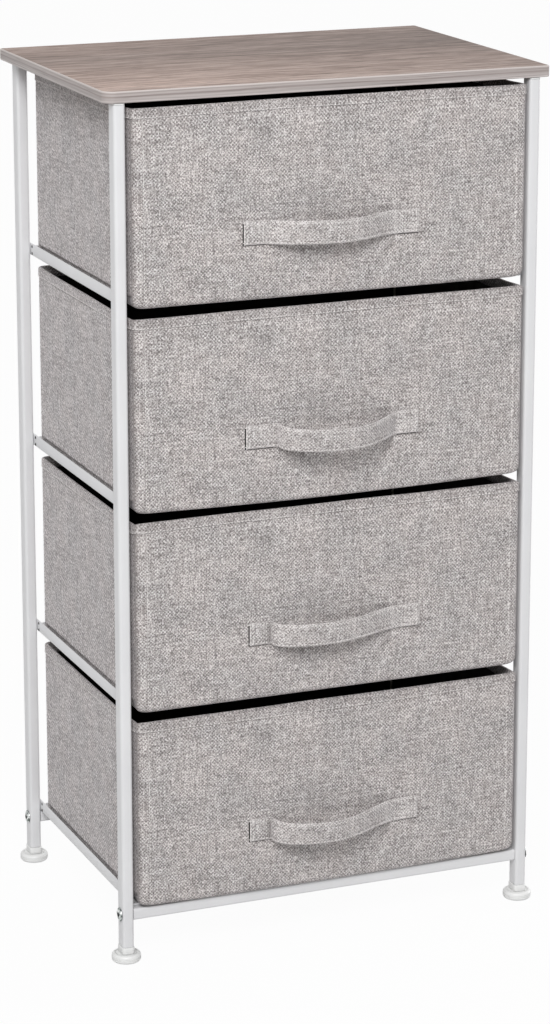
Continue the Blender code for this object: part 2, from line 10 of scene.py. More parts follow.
import bmesh
import bpy
import numpy as np
from mathutils import Vector
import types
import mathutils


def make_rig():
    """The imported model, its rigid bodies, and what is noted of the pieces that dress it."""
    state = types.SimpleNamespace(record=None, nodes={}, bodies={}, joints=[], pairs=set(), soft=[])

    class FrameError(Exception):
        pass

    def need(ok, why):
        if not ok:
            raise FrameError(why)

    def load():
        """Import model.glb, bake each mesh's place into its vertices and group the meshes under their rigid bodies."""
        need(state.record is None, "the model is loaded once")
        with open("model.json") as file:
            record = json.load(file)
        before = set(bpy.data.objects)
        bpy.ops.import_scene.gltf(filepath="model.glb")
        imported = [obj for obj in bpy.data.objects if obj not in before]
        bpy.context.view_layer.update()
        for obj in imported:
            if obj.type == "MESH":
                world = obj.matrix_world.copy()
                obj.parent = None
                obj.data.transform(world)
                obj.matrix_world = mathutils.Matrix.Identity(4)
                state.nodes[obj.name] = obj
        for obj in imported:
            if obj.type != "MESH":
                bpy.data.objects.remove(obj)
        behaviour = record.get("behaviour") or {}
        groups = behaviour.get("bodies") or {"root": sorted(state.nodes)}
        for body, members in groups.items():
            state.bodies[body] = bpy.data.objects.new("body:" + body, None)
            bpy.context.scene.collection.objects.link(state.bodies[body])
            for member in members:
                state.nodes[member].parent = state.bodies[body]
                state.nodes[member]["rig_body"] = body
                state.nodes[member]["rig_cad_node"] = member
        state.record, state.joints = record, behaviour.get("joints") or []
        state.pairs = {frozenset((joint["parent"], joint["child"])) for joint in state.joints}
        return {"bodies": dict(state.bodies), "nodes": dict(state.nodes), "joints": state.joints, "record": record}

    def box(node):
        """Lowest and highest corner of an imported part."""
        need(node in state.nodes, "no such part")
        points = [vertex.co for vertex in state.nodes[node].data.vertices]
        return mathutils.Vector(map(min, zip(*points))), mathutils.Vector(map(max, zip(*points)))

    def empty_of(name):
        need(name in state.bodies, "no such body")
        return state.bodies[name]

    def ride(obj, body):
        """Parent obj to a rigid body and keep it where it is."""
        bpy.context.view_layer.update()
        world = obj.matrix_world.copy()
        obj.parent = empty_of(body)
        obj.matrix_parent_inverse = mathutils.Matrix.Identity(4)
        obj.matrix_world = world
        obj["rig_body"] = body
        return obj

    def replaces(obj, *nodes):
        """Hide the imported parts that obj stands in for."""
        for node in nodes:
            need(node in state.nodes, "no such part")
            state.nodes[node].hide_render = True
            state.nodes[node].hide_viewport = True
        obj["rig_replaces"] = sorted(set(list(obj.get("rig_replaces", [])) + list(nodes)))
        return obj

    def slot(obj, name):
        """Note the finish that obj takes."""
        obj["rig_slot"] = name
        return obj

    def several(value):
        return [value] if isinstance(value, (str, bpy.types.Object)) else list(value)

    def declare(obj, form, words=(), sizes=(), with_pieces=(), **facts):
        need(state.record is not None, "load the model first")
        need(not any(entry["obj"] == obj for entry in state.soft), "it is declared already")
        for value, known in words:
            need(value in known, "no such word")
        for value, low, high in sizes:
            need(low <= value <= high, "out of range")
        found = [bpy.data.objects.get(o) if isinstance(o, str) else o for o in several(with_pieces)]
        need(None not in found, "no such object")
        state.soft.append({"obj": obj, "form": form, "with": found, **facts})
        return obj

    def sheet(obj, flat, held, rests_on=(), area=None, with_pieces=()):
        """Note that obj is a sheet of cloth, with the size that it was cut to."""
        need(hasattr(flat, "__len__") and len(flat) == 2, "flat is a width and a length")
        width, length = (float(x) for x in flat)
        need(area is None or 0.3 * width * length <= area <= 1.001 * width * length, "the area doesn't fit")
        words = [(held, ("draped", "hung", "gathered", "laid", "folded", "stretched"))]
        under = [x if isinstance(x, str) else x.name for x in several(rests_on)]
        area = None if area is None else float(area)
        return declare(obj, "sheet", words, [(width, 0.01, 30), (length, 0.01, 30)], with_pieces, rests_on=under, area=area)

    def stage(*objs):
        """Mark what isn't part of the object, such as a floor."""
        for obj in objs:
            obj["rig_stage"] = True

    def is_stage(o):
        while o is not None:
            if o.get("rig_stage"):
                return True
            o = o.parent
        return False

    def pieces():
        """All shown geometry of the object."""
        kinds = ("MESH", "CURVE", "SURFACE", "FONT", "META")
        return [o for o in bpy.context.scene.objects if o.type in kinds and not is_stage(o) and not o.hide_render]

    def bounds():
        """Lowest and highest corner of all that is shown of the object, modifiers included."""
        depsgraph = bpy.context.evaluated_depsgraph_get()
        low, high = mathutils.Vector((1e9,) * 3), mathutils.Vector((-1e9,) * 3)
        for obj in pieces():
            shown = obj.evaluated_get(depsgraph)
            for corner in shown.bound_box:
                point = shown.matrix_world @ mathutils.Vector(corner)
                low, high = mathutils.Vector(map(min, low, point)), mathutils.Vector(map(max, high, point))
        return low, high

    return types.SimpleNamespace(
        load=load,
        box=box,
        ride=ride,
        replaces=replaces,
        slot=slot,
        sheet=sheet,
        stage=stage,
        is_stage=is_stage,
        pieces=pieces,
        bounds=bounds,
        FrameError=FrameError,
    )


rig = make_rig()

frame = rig.load()
cad_low, cad_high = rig.bounds()
nodes = frame["nodes"]
MM = 0.001
CORNERS = ("front_left", "front_right", "rear_left", "rear_right")
DRAWERS = (1, 2, 3, 4)
print("the solids span", [round(v / MM, 1) for v in cad_high - cad_low], "mm")

# %% [markdown]
# The camera comes first, so that every later step can be judged in the picture. The photograph
# was taken with upright verticals from a little above the top, left of the middle. A plain camera
# at nearly the same place, tipped down, shows the same faces; a small lens shift keeps the tower
# in the tall frame.

# %% Camera
FRAME_HEIGHT_PX = 1024
FOCAL_PX = 3358.0
CAMERA_FROM_TOP_MIDDLE = (-1.225, -2.998)
CAMERA_HEIGHT = 1.310
CAMERA_YAW = math.radians(-22.31)
CAMERA_PITCH = math.radians(14.12)
LENS_SHIFT = -0.10
CLIP_START = 0.05

top_low, top_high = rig.box("edge_band")
top_middle = (top_low + top_high) / 2
camera_data = bpy.data.cameras.new("camera")
camera_data.lens = FOCAL_PX * camera_data.sensor_width / FRAME_HEIGHT_PX
camera_data.shift_y = LENS_SHIFT
camera_data.clip_start = CLIP_START
camera = bpy.data.objects.new("camera", camera_data)
camera.location = (
    top_middle.x + CAMERA_FROM_TOP_MIDDLE[0],
    top_middle.y + CAMERA_FROM_TOP_MIDDLE[1],
    CAMERA_HEIGHT,
)
camera.rotation_euler = (math.pi / 2 - CAMERA_PITCH, 0, CAMERA_YAW)
bpy.context.scene.collection.objects.link(camera)
bpy.context.scene.camera = camera
print("camera lens", round(camera_data.lens, 1), "mm")

# %% [markdown]
# Every finish on the tower is a node tree, and a tree linked node by node is long to read. Each of
# these helpers adds one node and hands back its result, so that a material reads like a sum. What
# goes in can be a plain number or the socket of another node. These deal with numbers and vectors.

# %% Number and vector helpers


def feed(tree, target, value):
    """Link a socket to a target, or set the target's own value."""
    if isinstance(value, bpy.types.NodeSocket):
        tree.links.new(value, target)
    else:
        target.default_value = value


def add_node(tree, kind, inputs=(), **settings):
    """A new node with its settings, and (socket, value or source) for its inputs."""
    node = tree.nodes.new(kind)
    for label, value in settings.items():
        setattr(node, label, value)
    for socket, value in inputs:
        feed(tree, node.inputs[socket], value)
    return node


def calc(tree, operation, *values):
    """A Math node on numbers or sockets; returns its result."""
    return add_node(tree, "ShaderNodeMath", enumerate(values), operation=operation).outputs[0]


def centred(tree, value, share):
    """A value from 0 to 1 as a change about nought, times a share."""
    return calc(tree, "MULTIPLY", calc(tree, "SUBTRACT", value, 0.5), share)


def between(tree, value, low, high, out_low=0.0, out_high=1.0):
    """Map a range of values onto another with soft ends; returns the result."""
    numbers = enumerate((value, low, high, out_low, out_high))
    return add_node(tree, "ShaderNodeMapRange", numbers, interpolation_type="SMOOTHSTEP").outputs[0]


def pick(tree, choice, first, second):
    """One of two numbers: the first where choice is 0, the second where it is 1."""
    return add_node(tree, "ShaderNodeMix", [(0, choice), (2, first), (3, second)]).outputs[0]


def vector_step(tree, operation, vector, second=None):
    """A Vector Math node; returns its vector."""
    inputs = [(0, vector)]
    if second is not None:
        inputs.append(("Scale" if operation == "SCALE" else 1, second))
    return add_node(tree, "ShaderNodeVectorMath", inputs, operation=operation).outputs[0]


def stretched(tree, vector, factors):
    """A vector multiplied axis by axis; returns the result."""
    return vector_step(tree, "MULTIPLY", vector, factors)


def parts_of(tree, vector):
    """The three numbers of a vector."""
    return add_node(tree, "ShaderNodeSeparateXYZ", [(0, vector)]).outputs


def vector_of(tree, x, y, z=0.0):
    """A vector from three numbers or sockets."""
    return add_node(tree, "ShaderNodeCombineXYZ", enumerate((x, y, z))).outputs[0]


print("number and vector helpers are ready")

# %% [markdown]
# Colours come from noise, which is read through a ramp and then mixed. Noise is used for almost
# every irregular thing here: it needs no picture, and it has the same scale on every piece because
# its place is measured in metres.

# %% Noise and colour helpers
# Most of what a noise texture puts out lies in this range
NOISE_RANGE = (0.3, 0.7)


def noise(tree, vector, scale=1.0, detail=2.0, roughness=0.5):
    """A noise texture from 0 to 1; returns its value."""
    inputs = [("Vector", vector), ("Scale", scale), ("Detail", detail), ("Roughness", roughness)]
    return add_node(tree, "ShaderNodeTexNoise", inputs).outputs["Fac"]


def ramp(tree, value, stops):
    """A colour ramp; stops are (place, colour)."""
    node = add_node(tree, "ShaderNodeValToRGB", [(0, value)])
    elements = node.color_ramp.elements
    while len(elements) < len(stops):
        elements.new(0.5)
    for element, (place, color) in zip(elements, stops):
        element.position = place
        element.color = (*color, 1.0)
    return node.outputs["Color"]


def grey_ramp(tree, value, stops):
    """A ramp of greys; stops are (place, level)."""
    return ramp(tree, value, [(place, (level, level, level)) for place, level in stops])


def two_tone(tree, value, dark, pale):
    """A ramp from one colour to another over the range of a noise."""
    return ramp(tree, value, list(zip(NOISE_RANGE, (dark, pale))))


def blend_colors(tree, factor, first, second, mode="MIX"):
    """Two colours mixed; returns the result."""
    node = add_node(tree, "ShaderNodeMix", [("Factor", factor)], data_type="RGBA", blend_type=mode)
    for name, value in (("A", first), ("B", second)):
        socket = next(s for s in node.inputs if s.name == name and s.type == "RGBA")
        feed(tree, socket, value if isinstance(value, bpy.types.NodeSocket) else (*value, 1.0))
    return next(s for s in node.outputs if s.type == "RGBA")


def multiplied(tree, color, light):
    """A colour made lighter or darker by another."""
    return blend_colors(tree, 1.0, color, light, "MULTIPLY")


print("noise and colour helpers are ready")

# %% [markdown]
# An effect that several finishes share is a node group with named sockets: it is built once, and
# each material places it with its own values. The Principled shader itself stays in the material,
# which can also read a value that the mesh stores at its points, such as how worn a corner is.

# %% Group and material helpers


def new_group(name, inputs, outputs, kind="ShaderNodeTree"):
    """An empty node group; returns it with what it is given and what it has to fill, by name."""
    group = bpy.data.node_groups.new(name, kind)
    for label, socket_kind in inputs:
        group.interface.new_socket(label, in_out="INPUT", socket_type=socket_kind)
    for label, socket_kind in outputs:
        group.interface.new_socket(label, in_out="OUTPUT", socket_type=socket_kind)
    entry = group.nodes.new("NodeGroupInput")
    leave = group.nodes.new("NodeGroupOutput")
    return group, entry.outputs, leave.inputs


def use_group(tree, group, **values):
    """Place a group in a tree; returns its outputs by name."""
    return add_node(tree, "ShaderNodeGroup", values.items(), node_tree=group).outputs


def new_material(name, roughness, metallic=0.0):
    """A Principled material; returns it with its tree and shader."""
    material = bpy.data.materials.new(name)
    material.use_nodes = True
    shader = material.node_tree.nodes["Principled BSDF"]
    shader.inputs["Roughness"].default_value = roughness
    shader.inputs["Metallic"].default_value = metallic
    return material, material.node_tree, shader


def place_of(tree, kind):
    """Texture coordinates: Object, or UV for cloth and band, both in metres."""
    return tree.nodes.new("ShaderNodeTexCoord").outputs[kind]


def stored_value(tree, name):
    """The value that a mesh carries at its points under a name, or nought where it has none."""
    return add_node(tree, "ShaderNodeAttribute", attribute_name=name).outputs["Fac"]


def add_bump(tree, shader, height, distance):
    """Raise a surface by a height map that is `distance` metres deep."""
    inputs = [("Strength", 1.0), ("Distance", distance), ("Height", height)]
    bump = add_node(tree, "ShaderNodeBump", inputs)
    feed(tree, shader.inputs["Normal"], bump.outputs[0])


print("group and material helpers are ready")

# %% [markdown]
# The cloth is a linen-look basket weave: two threads go over two, some pale and some dark, with
# slubs that run a little way along a thread and thicker yarns both ways, which still show from a
# few steps off. A picture of cloth would blur close by, so the group counts threads instead: Floor
# numbers them, a modulo says which pair lies on top, and white noise gives each crossing its tone.
# It reads a UV map laid out in metres, so the thread count is the same on every panel.

# %% Linen weave group
THREADS_TOGETHER = 2.0
THREAD_SPREAD = 7.31
SLUB_RUN = 0.09
PATCHES_PER_METRE = 26.0
CHECK_SHARE = 0.34
SPECK_SHARE = 0.74
SPECK_RISE = 0.6
SLUB_SHARE = 1.5
YARNS_PER_METRE = 420.0
YARN_RUNS_PER_METRE = 26.0
YARN_SHARE = 0.46
PATCH_SHARE = 0.26

weave, given, out = new_group(
    "linen_weave",
    [("Place", "NodeSocketVector"), ("Pitch", "NodeSocketFloat")],
    [("Tone", "NodeSocketFloat"), ("Height", "NodeSocketFloat"), ("Patch", "NodeSocketFloat")],
)
threads = vector_step(weave, "SCALE", given["Place"], calc(weave, "DIVIDE", 1.0, given["Pitch"]))
counted = vector_step(weave, "FLOOR", threads)
paired = vector_step(weave, "FLOOR", vector_step(weave, "SCALE", counted, 1 / THREADS_TOGETHER))
across, along = parts_of(weave, threads)[:2]
warp_number, weft_number = parts_of(weave, counted)[:2]
warp_pair, weft_pair = parts_of(weave, paired)[:2]
step = calc(weave, "FLOORED_MODULO", calc(weave, "ADD", warp_pair, weft_pair), 2.0)
warp_on_top = calc(weave, "LESS_THAN", step, 0.5)
crossing = add_node(weave, "ShaderNodeTexWhiteNoise", [("Vector", counted)], noise_dimensions="2D")
warp_spread = calc(weave, "MULTIPLY", warp_number, THREAD_SPREAD)
weft_spread = calc(weave, "MULTIPLY", weft_number, THREAD_SPREAD)
warp_run = calc(weave, "MULTIPLY", along, SLUB_RUN)
weft_run = calc(weave, "MULTIPLY", across, SLUB_RUN)
warp_tone = noise(weave, vector_of(weave, warp_spread, warp_run), detail=1.0)
weft_tone = noise(weave, vector_of(weave, weft_run, weft_spread), detail=1.0)
patch = noise(weave, given["Place"], PATCHES_PER_METRE, detail=3.0)
warp_place = stretched(weave, given["Place"], (YARNS_PER_METRE, YARN_RUNS_PER_METRE, 1.0))
weft_place = stretched(weave, given["Place"], (YARN_RUNS_PER_METRE, YARNS_PER_METRE, 1.0))
speck = centred(weave, crossing.outputs["Value"], SPECK_SHARE)
changes = [
    speck,
    centred(weave, warp_on_top, CHECK_SHARE),
    centred(weave, pick(weave, warp_on_top, weft_tone, warp_tone), SLUB_SHARE),
    centred(weave, noise(weave, warp_place, detail=1.0), YARN_SHARE),
    centred(weave, noise(weave, weft_place, detail=1.0), YARN_SHARE),
    centred(weave, patch, PATCH_SHARE),
]
tone = 0.5
for change in changes:
    tone = calc(weave, "ADD", change, tone)
feed(weave, out["Tone"], tone)
feed(weave, out["Patch"], patch)
warp_round = calc(weave, "SINE", calc(weave, "MULTIPLY", calc(weave, "FRACT", across), math.pi))
weft_round = calc(weave, "SINE", calc(weave, "MULTIPLY", calc(weave, "FRACT", along), math.pi))
rounded = pick(weave, warp_on_top, weft_round, warp_round)
feed(weave, out["Height"], calc(weave, "ADD", rounded, calc(weave, "MULTIPLY", speck, SPECK_RISE)))
print("linen weave group:", len(weave.nodes), "nodes")

# %% [markdown]
# The top and its band carry a printed wood grain that runs the long way of the board. Wave textures
# look too regular for it, so each layer is noise squeezed hard across the grain: a slow tone from
# board to board, bands, short fibres, and pores whose darkest places become thin brown streaks. A
# slow sideways sway keeps the lines from being straight.

# %% Wood grain group
SWAY = 0.022
# How often each layer changes in a metre, along the grain and both ways across it
SWAY_PER_METRE = (5.0, 14.0, 14.0)
PORES_PER_METRE = (8.0, 170.0, 170.0)
BOARDS_PER_METRE = (2.0, 11.0, 11.0)
BANDS_PER_METRE = (4.5, 75.0, 75.0)
FIBRES_PER_METRE = (24.0, 250.0, 250.0)
STREAK_FROM, STREAK_FULL = 0.53, 0.68

grain, given, out = new_group(
    "wood_grain",
    [("Place", "NodeSocketVector")],
    [(label, "NodeSocketFloat") for label in ("Board", "Band", "Fibre", "Streak")],
)
wander = noise(grain, stretched(grain, given["Place"], SWAY_PER_METRE), detail=3.0)
sway = centred(grain, wander, SWAY)
swayed = vector_step(grain, "ADD", given["Place"], vector_of(grain, 0.0, sway, sway))
pores = noise(grain, stretched(grain, swayed, PORES_PER_METRE), detail=3.0, roughness=0.62)
boards = noise(grain, stretched(grain, swayed, BOARDS_PER_METRE))
bands = noise(grain, stretched(grain, swayed, BANDS_PER_METRE), detail=4.0, roughness=0.62)
fibres = noise(grain, stretched(grain, swayed, FIBRES_PER_METRE), detail=4.0, roughness=0.72)
feed(grain, out["Board"], boards)
feed(grain, out["Band"], bands)
feed(grain, out["Fibre"], fibres)
feed(grain, out["Streak"], between(grain, pores, STREAK_FROM, STREAK_FULL))
print("wood grain group:", len(grain.nodes), "nodes")

# %% [markdown]
# The hard finishes share one more effect: the faint unevenness of a sprayed or moulded skin. A real
# one is never a perfect mirror, so a fine ripple feeds the bump, and two slower noises change its
# gloss and its tint a little from place to place.

# %% Coated skin group
GLOSS_PER_METRE = 60.0
TINT_PER_METRE = 14.0

skin, given, out = new_group(
    "coated_skin",
    [("Place", "NodeSocketVector"), ("Grain", "NodeSocketFloat")],
    [("Ripple", "NodeSocketFloat"), ("Gloss", "NodeSocketFloat"), ("Tint", "NodeSocketFloat")],
)
feed(skin, out["Ripple"], noise(skin, vector_step(skin, "SCALE", given["Place"], given["Grain"])))
feed(skin, out["Gloss"], noise(skin, given["Place"], GLOSS_PER_METRE, detail=3.0))
feed(skin, out["Tint"], noise(skin, given["Place"], TINT_PER_METRE))
print("coated skin group:", len(skin.nodes), "nodes")

# %% [markdown]
# The drawers are covered in warm grey cloth. The weave group gives each point a tone, a ramp turns
# it into a colour, and a little sheen gives the dusty look of linen at a low angle. The covers have
# painted shade round their front corners, strong at the left and faint at the right, and below the
# rim, and their side panels are of a slightly coarser run; the straps have a painted highlight along
# their edges and painted shade on the left tab's crease and under their ends. Values stored on the
# meshes say where.

# %% Cover and strap cloth
CLOTH_PITCH = 0.88 * MM
SIDE_COARSER = 0.2
CLOTH_ROUGHNESS = 0.92
CLOTH_STOPS = [(0.0, (0.185, 0.166, 0.161)), (0.5, (0.465, 0.430, 0.421)), (1.0, (0.855, 0.822, 0.812))]
COOL_PATCH = (0.990, 1.0, 1.006)
WARM_PATCH = (1.012, 0.997, 0.993)
SHEEN_TINT = (0.95, 0.92, 0.97, 1.0)
# Colour multipliers for the covers: none, and full painted shade at the front corners and the rim
UNSHADED = (1.0, 1.0, 1.0)
PAINTED_SHADE_COLOR = (0.62, 0.605, 0.60)
# A painted highlight along the straps' folded edges, and painted shade on the tab's crease and under the ends
FOLD_HIGHLIGHT, FOLD_HIGHLIGHT_SHARE = (0.78, 0.75, 0.74), 0.5
FOLD_SHADE, FOLD_SHADE_SHARE = (0.10, 0.088, 0.084), -0.75


def cloth_material(name, shade, relief):
    """Grey linen-look cloth; shade moves its tone up or down. Returns its tree, shader and colour too."""
    material, tree, shader = new_material(name, CLOTH_ROUGHNESS)
    coarser = stored_value(tree, "side_panel")
    pitch = calc(tree, "MULTIPLY_ADD", coarser, CLOTH_PITCH * SIDE_COARSER, CLOTH_PITCH)
    threads_here = use_group(tree, weave, Place=place_of(tree, "UV"), Pitch=pitch)
    color = ramp(tree, calc(tree, "ADD", threads_here["Tone"], shade), CLOTH_STOPS)
    tint = ramp(tree, threads_here["Patch"], [(0.35, COOL_PATCH), (0.65, WARM_PATCH)])
    shader.inputs["Specular IOR Level"].default_value = 0.2
    shader.inputs["Sheen Weight"].default_value = 0.35
    shader.inputs["Sheen Roughness"].default_value = 0.45
    shader.inputs["Sheen Tint"].default_value = SHEEN_TINT
    add_bump(tree, shader, threads_here["Height"], relief)
    return material, tree, shader, multiplied(tree, color, tint)


linen, tree, shader, color = cloth_material("linen_cloth", shade=0.0, relief=0.2 * MM)
# Painted shade: the covers go darker where their mesh stores it, round the front corners and below the rim
painted_cover_shade = ramp(tree, stored_value(tree, "handled"), [(0.0, UNSHADED), (1.0, PAINTED_SHADE_COLOR)])
feed(tree, shader.inputs["Base Color"], multiplied(tree, color, painted_cover_shade))

strap_cloth, tree, shader, color = cloth_material("strap_cloth", shade=0.07, relief=0.18 * MM)
# Painted highlight and painted shade, read from the values stored on the strap
fold_edge = stored_value(tree, "fold_edge")
highlight_share = calc(tree, "MULTIPLY", calc(tree, "MAXIMUM", fold_edge, 0.0), FOLD_HIGHLIGHT_SHARE)
shade_share = calc(tree, "MULTIPLY", calc(tree, "MINIMUM", fold_edge, 0.0), FOLD_SHADE_SHARE)
color = blend_colors(tree, highlight_share, color, FOLD_HIGHLIGHT)
color = blend_colors(tree, shade_share, color, FOLD_SHADE)
feed(tree, shader.inputs["Base Color"], color)
print("cover and strap cloth:", linen.name, strap_cloth.name)

# %% [markdown]
# The small cloth goods come next: sewing thread, the black felt that lines a drawer and wraps its
# boards, the blacker felt behind the straps' tabs that paints the shade under their edges, and the
# pale tape down the inner corners. At their size one fine noise is enough for fibre or twill, and it
# drives the bump as well.

# %% Thread, felt and tape
PLY_PER_METRE = 900.0
FELT_PER_METRE = 900.0
PRESS_PER_METRE = 70.0
TWILL_PER_METRE = (700.0, 700.0, 1800.0)
FELT_ROUGHNESS = (0.76, 0.92)

thread, tree, shader = new_material("sewing_thread", roughness=0.75)
ply = noise(tree, place_of(tree, "Object"), PLY_PER_METRE)
ply_color = two_tone(tree, ply, (0.72, 0.69, 0.675), (0.92, 0.89, 0.875))
feed(tree, shader.inputs["Base Color"], ply_color)
add_bump(tree, shader, ply, distance=0.1 * MM)


def felt_material(name, coordinates, dark, pale):
    """Pressed black felt: fine fibres, with pressed places that shine a little more."""
    material, tree, shader = new_material(name, roughness=0.85)
    felt = noise(tree, place_of(tree, coordinates), FELT_PER_METRE, detail=3.0, roughness=0.7)
    press = noise(tree, place_of(tree, coordinates), PRESS_PER_METRE)
    feed(tree, shader.inputs["Base Color"], ramp(tree, felt, [(0.25, dark), (0.8, pale)]))
    feed(tree, shader.inputs["Roughness"], between(tree, press, *NOISE_RANGE, *FELT_ROUGHNESS))
    shader.inputs["Specular IOR Level"].default_value = 0.25
    add_bump(tree, shader, felt, distance=0.15 * MM)
    return material


lining_cloth = felt_material("black_lining", "UV", (0.012, 0.0095, 0.008), (0.034, 0.028, 0.025))
wrapped_board = felt_material("wrapped_board", "Object", (0.012, 0.010, 0.009), (0.034, 0.030, 0.027))
# Painted shade: near-black felt whose edges show as the shadow line under the straps' tabs
tab_felt = felt_material("tab_felt", "UV", (0.004, 0.0035, 0.003), (0.014, 0.012, 0.011))

pale_tape, tree, shader = new_material("corner_tape", roughness=0.85)
twill = noise(tree, stretched(tree, place_of(tree, "Object"), TWILL_PER_METRE))
tape_color = two_tone(tree, twill, (0.50, 0.45, 0.40), (0.72, 0.66, 0.60))
feed(tree, shader.inputs["Base Color"], tape_color)
add_bump(tree, shader, twill, distance=0.1 * MM)
small_cloth = (thread, lining_cloth, wrapped_board, tab_felt, pale_tape)
print("small cloth goods:", [material.name for material in small_cloth])

# %% [markdown]
# The top's face is a printed board. The grain group gives its bands, boards, streaks and fibres,
# and each layer makes the colour lighter or darker by multiplying it. Over the grain goes painted
# light: a slow ramp from front to rear, with a broad dark band wandering behind the middle, and a
# slope from left to right make the top palest along its front and to the left.

# %% Printed board
WOOD_STOPS = [
    (0.28, (0.195, 0.138, 0.114)),
    (0.5, (0.318, 0.237, 0.205)),
    (0.75, (0.408, 0.321, 0.286)),
]
BOARD_LIGHT = ((0.84, 0.835, 0.83), (1.14, 1.14, 1.14))
FIBRE_LIGHT = [(0.28, (0.52, 0.51, 0.50)), (0.72, (1.48, 1.48, 1.48))]
# Painted light over the top: lighter at the front and the left, darker to the rear right
LIGHT_FALL_FRONT, LIGHT_FALL_REAR = -0.140, 0.170
PAINTED_LIGHT_FALL = [(0.0, 1.17), (0.24, 1.13), (0.45, 0.93), (0.64, 0.67), (0.80, 0.68), (1.0, 0.90)]
LIGHT_FALL_WANDER = 0.10
LIGHT_FALL_TO_RIGHT = -0.95
STREAK_COLOR, STREAK_SHARE = (0.120, 0.084, 0.070), 0.5
FIBRE_RELIEF = 0.06 * MM
WOOD_ROUGHNESS = (0.64, 0.5)

laminate, tree, shader = new_material("wood_grain_laminate", roughness=0.55)
board_place = place_of(tree, "Object")
wood = use_group(tree, grain, Place=board_place)
wood_color = ramp(tree, wood["Band"], WOOD_STOPS)
wood_color = multiplied(tree, wood_color, two_tone(tree, wood["Board"], *BOARD_LIGHT))
# Painted light: a ramp from front to rear that wanders with the boards, times a slope from left to right
place_x, place_y = parts_of(tree, board_place)[:2]
wandering = calc(tree, "ADD", place_y, centred(tree, wood["Board"], LIGHT_FALL_WANDER))
from_front = calc(tree, "SUBTRACT", wandering, LIGHT_FALL_FRONT)
light_fall_share = calc(tree, "DIVIDE", from_front, LIGHT_FALL_REAR - LIGHT_FALL_FRONT)
wood_color = multiplied(tree, wood_color, grey_ramp(tree, light_fall_share, PAINTED_LIGHT_FALL))
sideways = calc(tree, "MULTIPLY_ADD", place_x, LIGHT_FALL_TO_RIGHT, 1.0)
wood_color = multiplied(tree, wood_color, vector_of(tree, sideways, sideways, sideways))
streak_share = calc(tree, "MULTIPLY", wood["Streak"], STREAK_SHARE)
wood_color = blend_colors(tree, streak_share, wood_color, STREAK_COLOR)
wood_color = multiplied(tree, wood_color, ramp(tree, wood["Fibre"], FIBRE_LIGHT))
feed(tree, shader.inputs["Base Color"], wood_color)
feed(tree, shader.inputs["Roughness"], between(tree, wood["Fibre"], *NOISE_RANGE, *WOOD_ROUGHNESS))
shader.inputs["Specular IOR Level"].default_value = 0.3
add_bump(tree, shader, wood["Fibre"], FIBRE_RELIEF)
print("printed board:", laminate.name, len(tree.nodes), "nodes")

# %% [markdown]
# The band round the top has a print of its own, drawn along its length. From its upper arris down
# it has a pale line, a faint dark one, a middle tone, a dark line, a middle tone again and a pale
# foot. Its UV map measures the depth below the top, so one ramp over that depth draws them all, and
# a noise makes the lines waver under the arris.

# %% Band print
BAND_DEPTH = 11.0 * MM
# Depths below the top face, and the colour there
BAND_PRINT = [
    (0.0 * MM, (0.60, 0.545, 0.525)),
    (0.9 * MM, (0.56, 0.510, 0.490)),
    (1.6 * MM, (0.350, 0.308, 0.295)),
    (2.8 * MM, (0.420, 0.375, 0.362)),
    (4.0 * MM, (0.420, 0.375, 0.362)),
    (5.0 * MM, (0.275, 0.235, 0.224)),
    (6.2 * MM, (0.400, 0.358, 0.347)),
    (8.4 * MM, (0.430, 0.388, 0.378)),
    (9.6 * MM, (0.560, 0.515, 0.505)),
    (11.0 * MM, (0.480, 0.435, 0.425)),
]
BAND_LIGHT = ((0.78, 0.77, 0.76), (1.20, 1.20, 1.20))
BAND_GRAIN_SQUEEZE = 7.0
BAND_WAVER = 1.6 * MM
WAVERS_PER_METRE = (16.0, 90.0, 1.0)
UNDER_ARRIS = (0.8 * MM, 2.0 * MM)
BAND_STREAK_COLOR, BAND_STREAK_SHARE = (0.130, 0.105, 0.098), 0.55

band_wood, tree, shader = new_material("edge_band_wood", roughness=0.5)
band_place = place_of(tree, "UV")
wood = use_group(tree, grain, Place=stretched(tree, band_place, (1.0, BAND_GRAIN_SQUEEZE, 1.0)))
waver = noise(tree, stretched(tree, band_place, WAVERS_PER_METRE), detail=3.0)
below_top = calc(tree, "MULTIPLY", parts_of(tree, band_place)[1], -1.0)
under_arris = between(tree, below_top, *UNDER_ARRIS)
wavered = calc(tree, "MULTIPLY_ADD", centred(tree, waver, BAND_WAVER), under_arris, below_top)
depth_share = calc(tree, "DIVIDE", wavered, BAND_DEPTH)
band_color = ramp(tree, depth_share, [(depth / BAND_DEPTH, color) for depth, color in BAND_PRINT])
lit_band = multiplied(tree, band_color, two_tone(tree, wood["Band"], *BAND_LIGHT))
band_color = blend_colors(tree, under_arris, band_color, lit_band)
streaks_below = calc(tree, "MULTIPLY", wood["Streak"], under_arris)
streak_share = calc(tree, "MULTIPLY", streaks_below, BAND_STREAK_SHARE)
band_color = blend_colors(tree, streak_share, band_color, BAND_STREAK_COLOR)
feed(tree, shader.inputs["Base Color"], band_color)
shader.inputs["Specular IOR Level"].default_value = 0.35
add_bump(tree, shader, wood["Fibre"], FIBRE_RELIEF)
print("band print:", band_wood.name, len(BAND_PRINT), "stops")

# %% [markdown]
# The frame is steel with a white powder coat, the feet and collars are white moulded plastic, and
# the bolts are zinc plated. Coat and plastic are one recipe with other values: nearly white, with
# the coated skin's ripple. The zinc is a metal with painted reflections: noise makes patches of its
# colour go from dark to bright. A value on the mesh paints shade into the sunk places, where the
# room doesn't reflect, nearly black.

